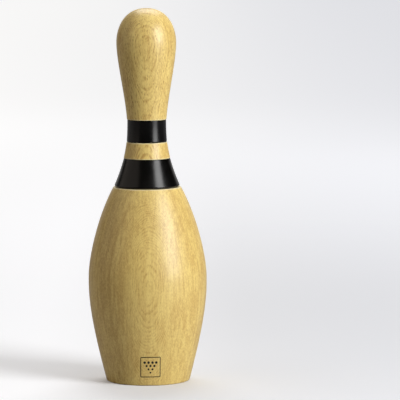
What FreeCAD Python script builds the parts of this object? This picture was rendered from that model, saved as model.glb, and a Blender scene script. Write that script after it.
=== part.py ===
"""Wooden pepper mill shaped like a bowling pin, as a parametric FreeCAD document.

The mill stands on its foot at z = 0 with its axis on +Z. From the floor up it is a turned beech body
that holds the peppercorns and the grinder, then a head made of a skirt ring, a neck ring, a neck band
and a knob, which turns on the body. Turning the head turns a square shaft, and the shaft turns a
ceramic cone inside a ceramic ring. A wheel under the cone sets how fine the mill grinds. The head
pulls straight up off the shaft so that the body can be filled.

All sizes are millimetres.
"""

import FreeCAD, Part
import math
import os
import Sketcher
from FreeCAD import Vector

# Driving dimensions: alias, value, what it is.
DIMENSIONS = [
    # Outer form of the body.
    ("foot_radius", 31.1, "radius of the body where it meets the floor"),
    ("belly_radius", 44.26, "largest radius of the body"),
    ("belly_height", 77.4, "height of the largest radius"),
    ("body_height", 145.75, "height of the body's top face"),
    ("mouth_radius", 25.25, "outer radius of the body at its top face"),
    ("foot_pull", 49.8, "height of the curve's first pole above the foot"),
    ("belly_pull_down", 11.7, "length of the vertical tangent below the belly"),
    ("belly_pull_up", 17.4, "length of the vertical tangent above the belly"),
    ("mouth_pull", 19.6, "height of the last pole below the mouth"),
    ("mouth_flare", 0.552, "how far the body widens for each millimetre below the mouth"),
    ("foot_round", 1.2, "rounding of the foot's outer edge"),
    ("mouth_round", 0.8, "rounding of the body's upper outer edge"),
    # Outer form of the head.
    ("skirt_height", 20.9, "height of the black skirt ring"),
    ("skirt_inset", 0.55, "how far the skirt's lower edge stands inside the body's mouth"),
    ("skirt_hollow", 0.42, "how far the skirt's side is hollowed"),
    ("ring_height", 12.15, "height of the beech neck ring"),
    ("ring_radius", 17.4, "radius of the neck ring at its lower face"),
    ("ring_top_radius", 15.15, "radius of the neck ring at its upper face"),
    ("ring_hollow", 0.12, "how far the neck ring's side is hollowed"),
    ("band_height", 16.85, "height of the black neck band"),
    ("black_inset", 0.1, "how far a black piece stands inside the beech one beside it"),
    ("knob_inset", 0.25, "how far the neck band stands inside the knob"),
    ("band_hollow", 0.17, "how far the neck band's side is hollowed"),
    ("knob_height", 83.0, "height of the knob above the neck band"),
    ("knob_neck_radius", 14.75, "radius of the knob at its lower face"),
    ("knob_radius", 22.3, "largest radius of the knob"),
    ("knob_belly", 57.75, "height of the knob's largest radius above its lower face"),
    ("knob_neck_pull", 19.5, "height of the first pole above the knob's lower face"),
    ("knob_flare", 0.075, "how far the knob widens for each millimetre at its lower face"),
    ("knob_pull_down", 14.5, "length of the vertical tangent below the largest radius"),
    ("knob_pull_up", 9.5, "length of the vertical tangent above the largest radius"),
    ("crown_pull", 17.3, "length of the horizontal tangent at the crown"),
    ("soft_edge", 0.9, "rounding of the lower edges of the black pieces"),
    ("crisp_edge", 0.4, "rounding of the other turned edges"),
    ("spigot_wall", 3.9, "wall of the spigot that carries the rings"),
    ("glue_gap", 0.1, "radial room for glue between wood and wood"),
    # Bores of the body.
    ("chamber_radius", 18.0, "radius of the pepper chamber"),
    ("recess_radius", 26.0, "radius of the recess under the body"),
    ("recess_depth", 9.0, "depth of the recess under the body"),
    ("bush_step", 2.1, "how much wider than the chamber the neck bush's seat is"),
    ("bush_length", 10.0, "depth of the seat for the neck bush"),
    # Neck bush and head plug.
    ("bush_flange", 0.6, "thickness of the bush's flange, on which the head turns"),
    ("bush_overlap", 2.5, "how far the bush's flange reaches past its seat"),
    ("bush_wall", 2.5, "wall of the neck bush"),
    ("seat_gap", 0.1, "radial room of a plastic piece in its seat"),
    ("turning_gap", 0.3, "radial room between pieces that turn on each other"),
    ("plug_depth", 9.0, "how far the plug reaches down into the body"),
    ("plug_wall", 1.6, "wall of the plug's skirt"),
    ("plug_plate", 2.0, "thickness of the plug's plate"),
    ("socket_wall", 1.25, "wall of the plug's socket at the shaft's corners"),
    ("socket_height", 35.0, "height of the socket above the head's lower face"),
    ("socket_end", 2.0, "closed end of the socket"),
    ("fork_thickness", 1.0, "thickness of the fork that grips the shaft"),
    ("fork_leg", 1.2, "width of each leg of the fork"),
    ("fork_overrun", 0.4, "how far the legs reach past the socket"),
    ("fork_height", 3.6, "height of the fork above the plug's lower face"),
    ("grip_gap", 0.06, "room between the fork and the shaft"),
    # Shaft, collar and spring.
    ("shaft_width", 5.0, "side of the square shaft"),
    ("shaft_gap", 0.15, "room between the shaft's side and what slides on it"),
    ("thread_length", 10.0, "length of the threaded end"),
    ("shaft_foot", 1.5, "height of the shaft's lower end above the floor"),
    ("shaft_end_gap", 1.0, "room between the shaft's top and the end of its socket"),
    ("collar_step", 2.1, "how far the collar's flange stands out from its sleeve"),
    ("collar_flange", 3.0, "height of the collar's flange"),
    ("sleeve_wall", 1.35, "wall of the collar's sleeve at the shaft's corners"),
    ("sleeve_drop", 1.3, "how far the sleeve reaches below the hub"),
    ("bearing_gap", 0.08, "radial running clearance of the sleeve in the hub"),
    ("pin_radius", 0.8, "radius of the collar's cross pin"),
    ("clip_thickness", 0.7, "thickness of the retaining clip"),
    ("clip_groove", 0.6, "depth of the clip's groove in the sleeve"),
    ("clip_reach", 2.3, "how far the retaining clip stands out from the sleeve"),
    ("clip_play", 0.1, "axial room of the clip"),
    ("spring_wire", 0.9, "diameter of the spring's wire"),
    ("spring_gap", 0.6, "room between the spring and the shaft's corners"),
    ("spring_turns", 5.0, "turns of the spring"),
    ("washer_thickness", 0.7, "thickness of the spring's washer"),
    ("washer_overlap", 1.4, "how far the washer reaches past the spring"),
    # Grinder.
    ("flange_gap", 0.6, "radial room round the housing's flange"),
    ("flange_thickness", 2.5, "thickness of the housing's flange"),
    ("housing_height", 39.5, "height of the grinder housing"),
    ("housing_wall", 2.5, "wall of the housing around the grinding ring"),
    ("lip_step", 1.1, "how much wider than the grinding ring's mouth the lip under it is"),
    ("lip_thickness", 3.0, "thickness of that lip"),
    ("spider_seat", 6.0, "depth of the spider's seat in the housing"),
    ("spider_wall", 1.4, "wall of the housing around the spider"),
    ("spider_height", 4.0, "height of the spider"),
    ("spider_rim", 2.6, "width of the spider's rim"),
    ("hub_wall", 2.6, "wall of the spider's hub"),
    ("arm_width", 4.0, "width of the spider's arms"),
    ("grind_ring_height", 12.5, "height of the grinding ring"),
    ("grind_ring_wall", 3.4, "wall of the grinding ring at its lower face"),
    ("exit_gap", 0.9, "room between the cone's rim and the ring's lower face"),
    ("throat_gap", 2.1, "room between the cone's waist and the ring's throat"),
    ("grind_ring_throat_height", 6.5, "height of the throat above the ring's lower face"),
    ("key_width", 3.0, "width of the keys that stop the grinding ring"),
    ("key_depth", 1.0, "depth of those keys"),
    ("retainer_height", 1.5, "height of the ring retainer"),
    ("retainer_width", 1.9, "width of the ring retainer"),
    ("cone_height", 13.5, "height of the grinding cone"),
    ("cone_radius", 13.0, "radius of the cone's lower rim"),
    ("cone_land", 1.0, "height of the straight rim"),
    ("cone_waist_radius", 9.2, "radius of the cone where it steepens"),
    ("cone_waist_height", 7.0, "height of that waist above the lower face"),
    ("cone_top_wall", 1.4, "wall of the cone at its upper face"),
    ("tooth_depth", 0.9, "depth of the cone's teeth at its rim"),
    ("ring_tooth_depth", 0.7, "depth of the grinding ring's teeth"),
    ("groove_depth", 1.3, "depth of the cone's feed grooves at its waist"),
    ("groove_top_depth", 0.7, "depth of the cone's feed grooves at its upper face"),
    ("tooth_sweep", 24.0, "how far the cone's teeth turn round the axis, in degrees"),
    ("ring_tooth_sweep", 14.0, "how far the ring's teeth turn the other way, in degrees"),
    ("hub_flat_wall", 1.65, "wall of the carrier's hexagonal hub at its flats"),
    ("hex_gap", 0.1, "room between the hub's flats and what sits on it"),
    ("carrier_radius", 11.5, "radius of the carrier's flange"),
    ("carrier_flange", 1.9, "thickness of the carrier's flange"),
    ("auger_height", 4.0, "height of the feed auger"),
    ("auger_wall", 0.9, "wall of the feed auger at the hub's corners"),
    ("vane_reach", 3.6, "how far the feed auger's vanes stand out"),
    ("vane_width", 1.6, "thickness of the feed auger's vanes"),
    ("vane_drop", 0.6, "how far the vanes stop below the auger's top"),
    ("wheel_radius", 9.5, "radius of the adjusting wheel"),
    ("wheel_height", 5.0, "height of the adjusting wheel"),
    ("grip_radius", 1.1, "radius of the finger grooves in the wheel"),
    ("insert_wall", 1.6, "wall of the wheel's brass insert"),
    ("insert_gap", 0.05, "room between insert and wheel"),
    ("thread_gap", 0.1, "room between the shaft's thread and the insert"),
    # Screws.
    ("screw_radius", 1.5, "radius of a screw's shank"),
    ("screw_head_radius", 2.9, "radius of a screw's head"),
    ("screw_head_height", 1.7, "height of the countersunk head"),
    ("screw_tip", 2.0, "length of a screw's point"),
    ("screw_gap", 0.05, "room between a screw and its hole"),
    ("cross_width", 0.8, "width of the driver's cross"),
    ("cross_length", 3.2, "length of the driver's cross"),
    ("cross_depth", 1.1, "depth of the driver's cross"),
    ("housing_screw_length", 14.0, "length of a housing screw"),
    ("plug_screw_length", 14.0, "length of a plug screw"),
    ("boss_wall", 0.9, "wall round a plug screw's head"),
    ("boss_rise", 2.0, "height of the screw bosses above the plug's lower face"),
]

# Counts, and the turning of a pattern against the others.
SCREW_COUNT = 3
ARM_COUNT = 3
KEY_COUNT = 3
TOOTH_COUNT = 16
RING_TOOTH_COUNT = 18
VANE_COUNT = 3
GRIP_COUNT = 18
ARM_START = 60.0
SCREW_START = 90.0


def dim(name):
    """The expression that reads one cell of the sheet."""
    return f"dims.{name}"


# Heights and radii that several pieces share, as expressions of the sheet's cells.
HEAD_Z = f"({dim('body_height')} + {dim('bush_flange')})"
RING_Z = f"({HEAD_Z} + {dim('skirt_height')})"
BAND_Z = f"({RING_Z} + {dim('ring_height')})"
KNOB_Z = f"({BAND_Z} + {dim('band_height')})"
CROWN_Z = f"({KNOB_Z} + {dim('knob_height')})"
KNOB_BELLY_Z = f"({KNOB_Z} + {dim('knob_belly')})"
PLUG_Z = f"({HEAD_Z} - {dim('plug_depth')})"
BOSS_Z = f"({PLUG_Z} + {dim('boss_rise')})"
SOCKET_TOP_Z = f"({HEAD_Z} + {dim('socket_height')})"
FORK_Z = f"({PLUG_Z} + {dim('fork_height')})"
BUSH_Z = f"({dim('body_height')} - {dim('bush_length')})"

HOUSING_Z = f"({dim('recess_depth')} - {dim('flange_thickness')})"
HOUSING_TOP_Z = f"({HOUSING_Z} + {dim('housing_height')})"
GRIND_RING_Z = f"({HOUSING_Z} + {dim('lip_thickness')})"
GRIND_RING_TOP_Z = f"({GRIND_RING_Z} + {dim('grind_ring_height')})"
SPIDER_Z = f"({HOUSING_TOP_Z} - {dim('spider_seat')})"
SPIDER_TOP_Z = f"({SPIDER_Z} + {dim('spider_height')})"
COLLAR_TOP_Z = f"({SPIDER_TOP_Z} + {dim('collar_flange')})"
PIN_Z = f"({SPIDER_TOP_Z} + {dim('collar_flange')} / 2)"
SLEEVE_Z = f"({SPIDER_Z} - {dim('sleeve_drop')})"
CLIP_Z = f"({SPIDER_Z} - {dim('clip_play')} - {dim('clip_thickness')})"
WASHER_Z = f"({SLEEVE_Z} - {dim('washer_thickness')})"
CONE_Z = GRIND_RING_Z
CONE_TOP_Z = f"({CONE_Z} + {dim('cone_height')})"
AUGER_TOP_Z = f"({CONE_TOP_Z} + {dim('auger_height')})"
CARRIER_Z = f"({CONE_Z} - {dim('carrier_flange')})"
WHEEL_Z = f"({CARRIER_Z} - {dim('wheel_height')})"
THREAD_TOP_Z = f"({dim('shaft_foot')} + {dim('thread_length')})"
SHAFT_TOP_Z = f"({SOCKET_TOP_Z} - {dim('socket_end')} - {dim('shaft_end_gap')})"

HALF_SHAFT = f"({dim('shaft_width')} / 2)"
HALF_SOCKET = f"({HALF_SHAFT} + {dim('shaft_gap')})"
SHAFT_CORNER = f"({HALF_SHAFT} * sqrt(2))"
SOCKET_RADIUS = f"({HALF_SOCKET} * sqrt(2) + {dim('socket_wall')})"
SPIGOT_BORE = f"({SOCKET_RADIUS} + {dim('seat_gap')})"
SPIGOT_RADIUS = f"({SPIGOT_BORE} + {dim('spigot_wall')})"
RING_BORE = f"({SPIGOT_RADIUS} + {dim('glue_gap')})"
SLEEVE_RADIUS = f"({SHAFT_CORNER} + {dim('sleeve_wall')})"
COLLAR_RADIUS = f"({SLEEVE_RADIUS} + {dim('collar_step')})"
CLIP_RADIUS = f"({SLEEVE_RADIUS} + {dim('clip_reach')})"
SPRING_RADIUS = f"({SHAFT_CORNER} + {dim('spring_gap')} + {dim('spring_wire')} / 2)"
WASHER_RADIUS = f"({SPRING_RADIUS} + {dim('spring_wire')} / 2 + {dim('washer_overlap')})"
INSERT_BORE = f"({HALF_SHAFT} + {dim('thread_gap')})"
INSERT_RADIUS = f"({INSERT_BORE} + {dim('insert_wall')})"
HUB_BORE = f"({SLEEVE_RADIUS} + {dim('bearing_gap')})"
HUB_RADIUS = f"({HUB_BORE} + {dim('hub_wall')})"

HEX_WIDTH = f"(2 * ({HALF_SOCKET} + {dim('hub_flat_wall')}))"
HEX_CORNER = f"({HEX_WIDTH} / sqrt(3))"
CONE_TOP_RADIUS = f"({HEX_CORNER} + {dim('cone_top_wall')})"
AUGER_HUB_RADIUS = f"({HEX_CORNER} + {dim('auger_wall')})"
EXIT_RADIUS = f"({dim('cone_radius')} + {dim('exit_gap')})"
THROAT_RADIUS = f"({dim('cone_waist_radius')} + {dim('throat_gap')})"
LIP_RADIUS = f"({EXIT_RADIUS} + {dim('lip_step')})"
GRIND_RING_RADIUS = f"({EXIT_RADIUS} + {dim('grind_ring_wall')})"
RING_SEAT_RADIUS = f"({GRIND_RING_RADIUS} + {dim('seat_gap')})"
HOUSING_RADIUS = f"({RING_SEAT_RADIUS} + {dim('housing_wall')})"
GRINDER_BORE = f"({HOUSING_RADIUS} + {dim('seat_gap')})"
SPIDER_SEAT_RADIUS = f"({HOUSING_RADIUS} - {dim('spider_wall')})"
SPIDER_RADIUS = f"({SPIDER_SEAT_RADIUS} - {dim('seat_gap')})"
FLANGE_RADIUS = f"({dim('recess_radius')} - {dim('flange_gap')})"
HOUSING_SCREW_CIRCLE = f"(({GRINDER_BORE} + {FLANGE_RADIUS}) / 2)"

BUSH_SEAT_RADIUS = f"({dim('chamber_radius')} + {dim('bush_step')})"
BUSH_RADIUS = f"({BUSH_SEAT_RADIUS} - {dim('seat_gap')} - {dim('bush_wall')})"
PLUG_RADIUS = f"({BUSH_RADIUS} - {dim('turning_gap')})"
PLUG_INNER_RADIUS = f"({PLUG_RADIUS} - {dim('plug_wall')})"
PLUG_SCREW_CIRCLE = f"(({RING_BORE} + {PLUG_INNER_RADIUS}) / 2)"
SKIRT_RADIUS = f"({dim('mouth_radius')} - {dim('skirt_inset')})"
SKIRT_TOP_RADIUS = f"({dim('ring_radius')} - {dim('black_inset')})"
BAND_RADIUS = f"({dim('ring_top_radius')} - {dim('black_inset')})"
BAND_TOP_RADIUS = f"({dim('knob_neck_radius')} - {dim('knob_inset')})"

doc = FreeCAD.newDocument("pepper_mill")
sheet = doc.addObject("Spreadsheet::Sheet", "dims")


def fill_sheet():
    """Write the driving dimensions into the sheet, one aliased cell each."""
    for row, (alias, value, meaning) in enumerate(DIMENSIONS, start=1):
        sheet.set(f"A{row}", str(value))
        sheet.setAlias(f"A{row}", alias)
        sheet.set(f"B{row}", meaning)
    doc.recompute()


def value_of(expression):
    """The number that an expression of the sheet's cells stands for now."""
    result = sheet.evalExpression(str(expression))
    return float(getattr(result, "Value", result))


# ---------------------------------------------------------------- sketches and features


def new_body(name):
    """A PartDesign body whose label is the piece's name."""
    body = doc.addObject("PartDesign::Body", name)
    body.Label = name
    body.AllowCompound = True
    return body


def origin_feature(body, role):
    """One of a body's own origin planes or axes."""
    return next(f for f in body.Origin.OriginFeatures if f.Role == role)


def new_sketch(body, plane="XZ_Plane", height=None):
    """A sketch on one of the body's origin planes, raised to a height if one is given."""
    sketch = body.newObject("Sketcher::SketchObject", f"{body.Name}_sketch")
    sketch.AttachmentSupport = [(origin_feature(body, plane), "")]
    sketch.MapMode = "FlatFace"
    if height is not None:
        sketch.setExpression("AttachmentOffset.Base.z", str(height))
    doc.recompute()
    return sketch


def hold(sketch, kind, element, expression):
    """Tie one coordinate of a sketch point to an expression."""
    where = value_of(expression)
    axis = -2 if kind == "DistanceX" else -1
    if str(expression) == "0":
        sketch.addConstraint(Sketcher.Constraint("PointOnObject", *element, axis))
        return
    index = sketch.addConstraint(Sketcher.Constraint(kind, -1, 1, *element, where))
    sketch.setExpression(f"Constraints[{index}]", str(expression))


def hold_point(sketch, element, point):
    """Tie both coordinates of a sketch point to expressions."""
    hold(sketch, "DistanceX", element, point[0])
    hold(sketch, "DistanceY", element, point[1])


def vector_of(point):
    """The sketch position of a pair of expressions."""
    return Vector(value_of(point[0]), value_of(point[1]), 0)


def add_curve(sketch, start, poles, end):
    """A cubic curve from start to end whose two inner poles are tied to expressions."""
    points = [vector_of(p) for p in (start, *poles, end)]
    curve = Part.BSplineCurve()
    curve.buildFromPolesMultsKnots(points, [4, 4], [0.0, 1.0], False, 3)
    index = sketch.addGeometry(curve, False)
    sketch.exposeInternalGeometry(index)
    for place, pole in enumerate(poles, start=2):
        hold_point(sketch, (index + place, 3), pole)
    return index


def add_outline(sketch, corners):
    """Draw a closed outline. A corner is a pair of expressions, and a corner followed by two more pairs
    is joined to the next one by a cubic curve with those two poles instead of a straight line."""
    sides = []
    for number, corner in enumerate(corners):
        following = corners[(number + 1) % len(corners)]
        start, end = corner[:2], following[:2]
        if len(corner) > 2:
            side = add_curve(sketch, start, corner[2:], end)
        else:
            side = sketch.addGeometry(Part.LineSegment(vector_of(start), vector_of(end)), False)
        sides.append(side)
    for number, side in enumerate(sides):
        hold_point(sketch, (side, 1), corners[number][:2])
        sketch.addConstraint(Sketcher.Constraint("Coincident", sides[number - 1], 2, side, 1))


def add_circle(sketch, radius, centre=("0", "0")):
    """A circle whose radius and centre are tied to expressions."""
    index = sketch.addGeometry(Part.Circle(vector_of(centre), Vector(0, 0, 1), value_of(radius)), False)
    if centre == ("0", "0"):
        sketch.addConstraint(Sketcher.Constraint("Coincident", index, 3, -1, 1))
    else:
        hold_point(sketch, (index, 3), centre)
    size = sketch.addConstraint(Sketcher.Constraint("Radius", index, value_of(radius)))
    sketch.setExpression(f"Constraints[{size}]", str(radius))


def add_axis(sketch, distance):
    """A vertical construction line at a distance from the sketch's own axis."""
    line = Part.LineSegment(Vector(value_of(distance), 0, 0), Vector(value_of(distance), 10, 0))
    index = sketch.addGeometry(line, True)
    sketch.addConstraint(Sketcher.Constraint("Vertical", index))
    hold_point(sketch, (index, 1), (distance, "0"))
    length = sketch.addConstraint(Sketcher.Constraint("DistanceY", index, 1, index, 2, 10))
    sketch.renameConstraint(length, "axis_length")


def turn(body, corners, cut=False, axis=None):
    """Revolve an outline round the body's axis, or round a parallel one, to add or to cut."""
    sketch = new_sketch(body)
    add_outline(sketch, corners)
    if axis is not None:
        add_axis(sketch, axis)
    kind = "Groove" if cut else "Revolution"
    feature = body.newObject(f"PartDesign::{kind}", f"{body.Name}_{kind.lower()}")
    feature.Profile = sketch
    feature.ReferenceAxis = (sketch, ["V_Axis" if axis is None else "Axis0"])
    feature.Angle = 360
    return settle(feature)


def extrude(body, sketch, length, cut=False, both=False, down=False):
    """Pad or pocket a sketch by a length, upwards unless down or both ways is asked for."""
    kind = "Pocket" if cut else "Pad"
    feature = body.newObject(f"PartDesign::{kind}", f"{body.Name}_{kind.lower()}")
    feature.Profile = sketch
    feature.setExpression("Length", str(length))
    if both:
        feature.SideType = "Symmetric"
    feature.Reversed = (not down) if cut else down
    return settle(feature)


def repeat(body, originals, count, angle=360.0):
    """Repeat features round the body's axis."""
    pattern = body.newObject("PartDesign::PolarPattern", f"{body.Name}_pattern")
    pattern.Originals = originals
    pattern.Axis = (origin_feature(body, "Z_Axis"), [""])
    pattern.Angle = angle
    pattern.Occurrences = count
    body.Tip = pattern
    return settle(pattern)


def settle(feature):
    """Recompute, and stop if the feature failed, added nothing or cut nothing."""
    doc.recompute()
    if "Invalid" in feature.State or "Error" in feature.State or feature.Shape.isNull():
        raise RuntimeError(f"{feature.Name} failed: {feature.getStatusString()}")
    base = getattr(feature, "BaseFeature", None)
    if base is not None and abs(base.Shape.Volume - feature.Shape.Volume) < 1e-6:
        raise RuntimeError(f"{feature.Name} changed nothing")
    return feature


def ring_edges(feature, radius, height):
    """Names of the circular edges round the axis with that radius, at that height."""
    wanted = (value_of(radius), value_of(height))
    names = []
    for number, edge in enumerate(feature.Shape.Edges, start=1):
        if edge.Degenerated or not isinstance(edge.Curve, Part.Circle):
            continue
        centre = edge.Curve.Center
        found = (edge.Curve.Radius, centre.z)
        on_axis = math.hypot(centre.x, centre.y) < 1e-6
        if on_axis and all(abs(a - b) < 1e-4 for a, b in zip(wanted, found)):
            names.append(f"Edge{number}")
    return names


def round_edges(body, feature, radius, places):
    """Fillet the circular edges at the given pairs of radius and height."""
    edges = [name for place in places for name in ring_edges(feature, *place)]
    if len(edges) != len(places):
        raise RuntimeError(f"{body.Label}: {len(edges)} edges found for {len(places)} places")
    fillet = body.newObject("PartDesign::Fillet", f"{body.Name}_fillet")
    fillet.Base = (feature, edges)
    fillet.setExpression("Radius", str(radius))
    return settle(fillet)


def rectangle(left, right, low, high):
    """The four corners of a rectangle, from expressions."""
    return [(left, low), (right, low), (right, high), (left, high)]


def square_bore(body, half_width, low, length):
    """Cut a square hole along the axis, upwards from a height."""
    sketch = new_sketch(body, "XY_Plane", low)
    add_outline(sketch, rectangle(f"-({half_width})", half_width, f"-({half_width})", half_width))
    return extrude(body, sketch, length, cut=True)


def hexagon(across):
    """The corners of a hexagon round the origin, two of them on the X axis."""
    corners = []
    for number in range(6):
        angle = 60 * number
        reach = f"{across} / sqrt(3)"
        corners.append((f"{reach} * cos({angle})", f"{reach} * sin({angle})" if number % 3 else "0"))
    return corners


def hollowed(low_radius, low, high_radius, high, hollow):
    """The side of a turned ring: two corners joined by a cubic that lies inside their chord by hollow."""
    poles = [
        (
            f"{low_radius} + ({high_radius} - {low_radius}) * {share} - {hollow} * 4 / 3",
            f"{low} + ({high} - {low}) * {share}",
        )
        for share in ("1 / 3", "2 / 3")
    ]
    return [(low_radius, low, *poles), (high_radius, high)]


# ---------------------------------------------------------------- screws and their holes


def screw_outline(circle, low, length, gap="0"):
    """Half of a countersunk wood screw, head down, beside an axis at the screw circle's radius."""
    head = f"({circle} + {dim('screw_head_radius')} + {gap})"
    shank = f"({circle} + {dim('screw_radius')} + {gap})"
    shank_start = f"({low} + {dim('screw_head_height')})"
    shank_end = f"({low} + {length} - {dim('screw_tip')})"
    tip = f"({low} + {length} + {gap})"
    return [(circle, low), (head, low), (shank, shank_start), (shank, shank_end), (circle, tip)]


def turn_to_first(body, angle):
    """Turn a whole body about the mill's axis, so that its pattern starts at an angle."""
    body.Placement = FreeCAD.Placement(Vector(), FreeCAD.Rotation(Vector(0, 0, 1), angle))


def cut_screw_holes(body, circle, low, length):
    """Cut a ring of countersunk screw holes, head down."""
    outline = screw_outline(circle, low, length, dim("screw_gap"))
    groove = turn(body, outline, cut=True, axis=circle)
    return repeat(body, [groove], SCREW_COUNT)


def make_screws(name, circle, low, length):
    """A ring of separate countersunk screws with a driver's cross in each head."""
    body = new_body(name)
    screw = turn(body, screw_outline(circle, low, length), axis=circle)
    crosses = []
    slot = (dim("cross_length"), dim("cross_width"))
    for wide, deep in (slot, slot[::-1]):
        sketch = new_sketch(body, "XY_Plane", low)
        left, right = f"({circle} - {wide} / 2)", f"({circle} + {wide} / 2)"
        add_outline(sketch, rectangle(left, right, f"-{deep} / 2", f"{deep} / 2"))
        crosses.append(extrude(body, sketch, dim("cross_depth"), cut=True))
    repeat(body, [screw, *crosses], SCREW_COUNT)
    return body


# ---------------------------------------------------------------- turned wood


def make_body_shell():
    """The turned beech body, bored for the chamber, the grinder and the neck bush."""
    body = new_body("body_shell")
    foot, top = dim("foot_radius"), dim("body_height")
    belly, belly_z = dim("belly_radius"), dim("belly_height")
    mouth = dim("mouth_radius")
    lower = [(belly, dim("foot_pull")), (belly, f"{belly_z} - {dim('belly_pull_down')}")]
    upper = [
        (belly, f"{belly_z} + {dim('belly_pull_up')}"),
        (f"{mouth} + {dim('mouth_flare')} * {dim('mouth_pull')}", f"{top} - {dim('mouth_pull')}"),
    ]
    grinder_top = f"{HOUSING_TOP_Z} + {dim('seat_gap')}"
    outline = [
        (foot, "0", *lower),
        (belly, belly_z, *upper),
        (mouth, top),
        (BUSH_SEAT_RADIUS, top),
        (BUSH_SEAT_RADIUS, BUSH_Z),
        (dim("chamber_radius"), BUSH_Z),
        (dim("chamber_radius"), grinder_top),
        (GRINDER_BORE, grinder_top),
        (GRINDER_BORE, dim("recess_depth")),
        (dim("recess_radius"), dim("recess_depth")),
        (dim("recess_radius"), "0"),
    ]
    shell = turn(body, outline)
    shell = round_edges(body, shell, dim("foot_round"), [(foot, "0")])
    shell = round_edges(body, shell, dim("mouth_round"), [(mouth, top)])
    inner = [(dim("recess_radius"), "0"), (BUSH_SEAT_RADIUS, top)]
    round_edges(body, shell, dim("crisp_edge"), inner)
    cut_screw_holes(body, HOUSING_SCREW_CIRCLE, HOUSING_Z, dim("housing_screw_length"))
    turn_to_first(body, SCREW_START)
    return body


def make_neck_piece(name, low, height, radii, hollow, lower_edge):
    """One of the rings that sit on the head's spigot. radii are those of its lower and upper faces."""
    body = new_body(name)
    high = f"({low} + {height})"
    side = hollowed(radii[0], low, radii[1], high, hollow)
    ring = turn(body, [*side, (RING_BORE, high), (RING_BORE, low)])
    ring = round_edges(body, ring, lower_edge, [(radii[0], low)])
    round_edges(body, ring, dim("crisp_edge"), [(radii[1], high)])
    return body


def make_skirt_ring():
    """The black ring that flares down to the body, bored for the plug's screws."""
    radii = (SKIRT_RADIUS, SKIRT_TOP_RADIUS)
    body = make_neck_piece(
        "skirt_ring", HEAD_Z, dim("skirt_height"), radii, dim("skirt_hollow"), dim("soft_edge")
    )
    cut_screw_holes(body, PLUG_SCREW_CIRCLE, BOSS_Z, dim("plug_screw_length"))
    return body


def make_neck_ring():
    """The beech ring between the two black ones."""
    radii = (dim("ring_radius"), dim("ring_top_radius"))
    return make_neck_piece(
        "neck_ring", RING_Z, dim("ring_height"), radii, dim("ring_hollow"), dim("crisp_edge")
    )


def make_neck_band():
    """The narrow black ring under the knob."""
    radii = (BAND_RADIUS, BAND_TOP_RADIUS)
    return make_neck_piece(
        "neck_band", BAND_Z, dim("band_height"), radii, dim("band_hollow"), dim("soft_edge")
    )


def make_knob():
    """The beech knob, with the long spigot that carries the three rings and the plug's socket."""
    body = new_body("knob")
    neck, widest = dim("knob_neck_radius"), dim("knob_radius")
    neck_pull = dim("knob_neck_pull")
    side = [
        (f"{neck} + {dim('knob_flare')} * {neck_pull}", f"{KNOB_Z} + {neck_pull}"),
        (widest, f"{KNOB_BELLY_Z} - {dim('knob_pull_down')}"),
    ]
    crown = [(widest, f"{KNOB_BELLY_Z} + {dim('knob_pull_up')}"), (dim("crown_pull"), CROWN_Z)]
    bore_top = f"({SOCKET_TOP_Z} + {dim('seat_gap')})"
    outline = [
        (SPIGOT_BORE, HEAD_Z),
        (SPIGOT_RADIUS, HEAD_Z),
        (SPIGOT_RADIUS, KNOB_Z),
        (neck, KNOB_Z, *side),
        (widest, KNOB_BELLY_Z, *crown),
        ("0", CROWN_Z),
        ("0", bore_top),
        (SPIGOT_BORE, bore_top),
    ]
    knob = turn(body, outline)
    round_edges(body, knob, dim("crisp_edge"), [(neck, KNOB_Z)])
    return body


# ---------------------------------------------------------------- neck bush and head plug


def make_neck_bush():
    """The flanged plastic bush in the body's mouth: the head turns on its flange and in its bore."""
    body = new_body("neck_bush")
    outer = f"({BUSH_SEAT_RADIUS} - {dim('seat_gap')})"
    outline = [
        (BUSH_RADIUS, BUSH_Z),
        (outer, BUSH_Z),
        (outer, dim("body_height")),
        (f"({BUSH_SEAT_RADIUS} + {dim('bush_overlap')})", dim("body_height")),
        (f"({BUSH_SEAT_RADIUS} + {dim('bush_overlap')})", HEAD_Z),
        (BUSH_RADIUS, HEAD_Z),
    ]
    turn(body, outline)
    return body


def make_head_plug():
    """The moulded plug under the head: it centres the head in the bush and holds the shaft's socket."""
    body = new_body("head_plug")
    plate_z = f"({HEAD_Z} - {dim('plug_plate')})"
    outline = [
        ("0", PLUG_Z),
        (SOCKET_RADIUS, PLUG_Z),
        (SOCKET_RADIUS, plate_z),
        (PLUG_INNER_RADIUS, plate_z),
        (PLUG_INNER_RADIUS, PLUG_Z),
        (PLUG_RADIUS, PLUG_Z),
        (PLUG_RADIUS, HEAD_Z),
        (SOCKET_RADIUS, HEAD_Z),
        (SOCKET_RADIUS, SOCKET_TOP_Z),
        ("0", SOCKET_TOP_Z),
    ]
    turn(body, outline)
    sketch = new_sketch(body, "XY_Plane", BOSS_Z)
    boss_radius = f"({dim('screw_head_radius')} + {dim('boss_wall')})"
    add_circle(sketch, boss_radius, (PLUG_SCREW_CIRCLE, "0"))
    boss = extrude(body, sketch, f"{plate_z} - {BOSS_Z} + {dim('plug_plate')} / 2")
    repeat(body, [boss], SCREW_COUNT)
    cut_screw_holes(body, PLUG_SCREW_CIRCLE, BOSS_Z, dim("plug_screw_length"))
    bore_length = f"{SOCKET_TOP_Z} - {PLUG_Z} - {dim('socket_end')}"
    square_bore(body, HALF_SOCKET, PLUG_Z, bore_length)
    cut_fork_slots(body)
    return body


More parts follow.
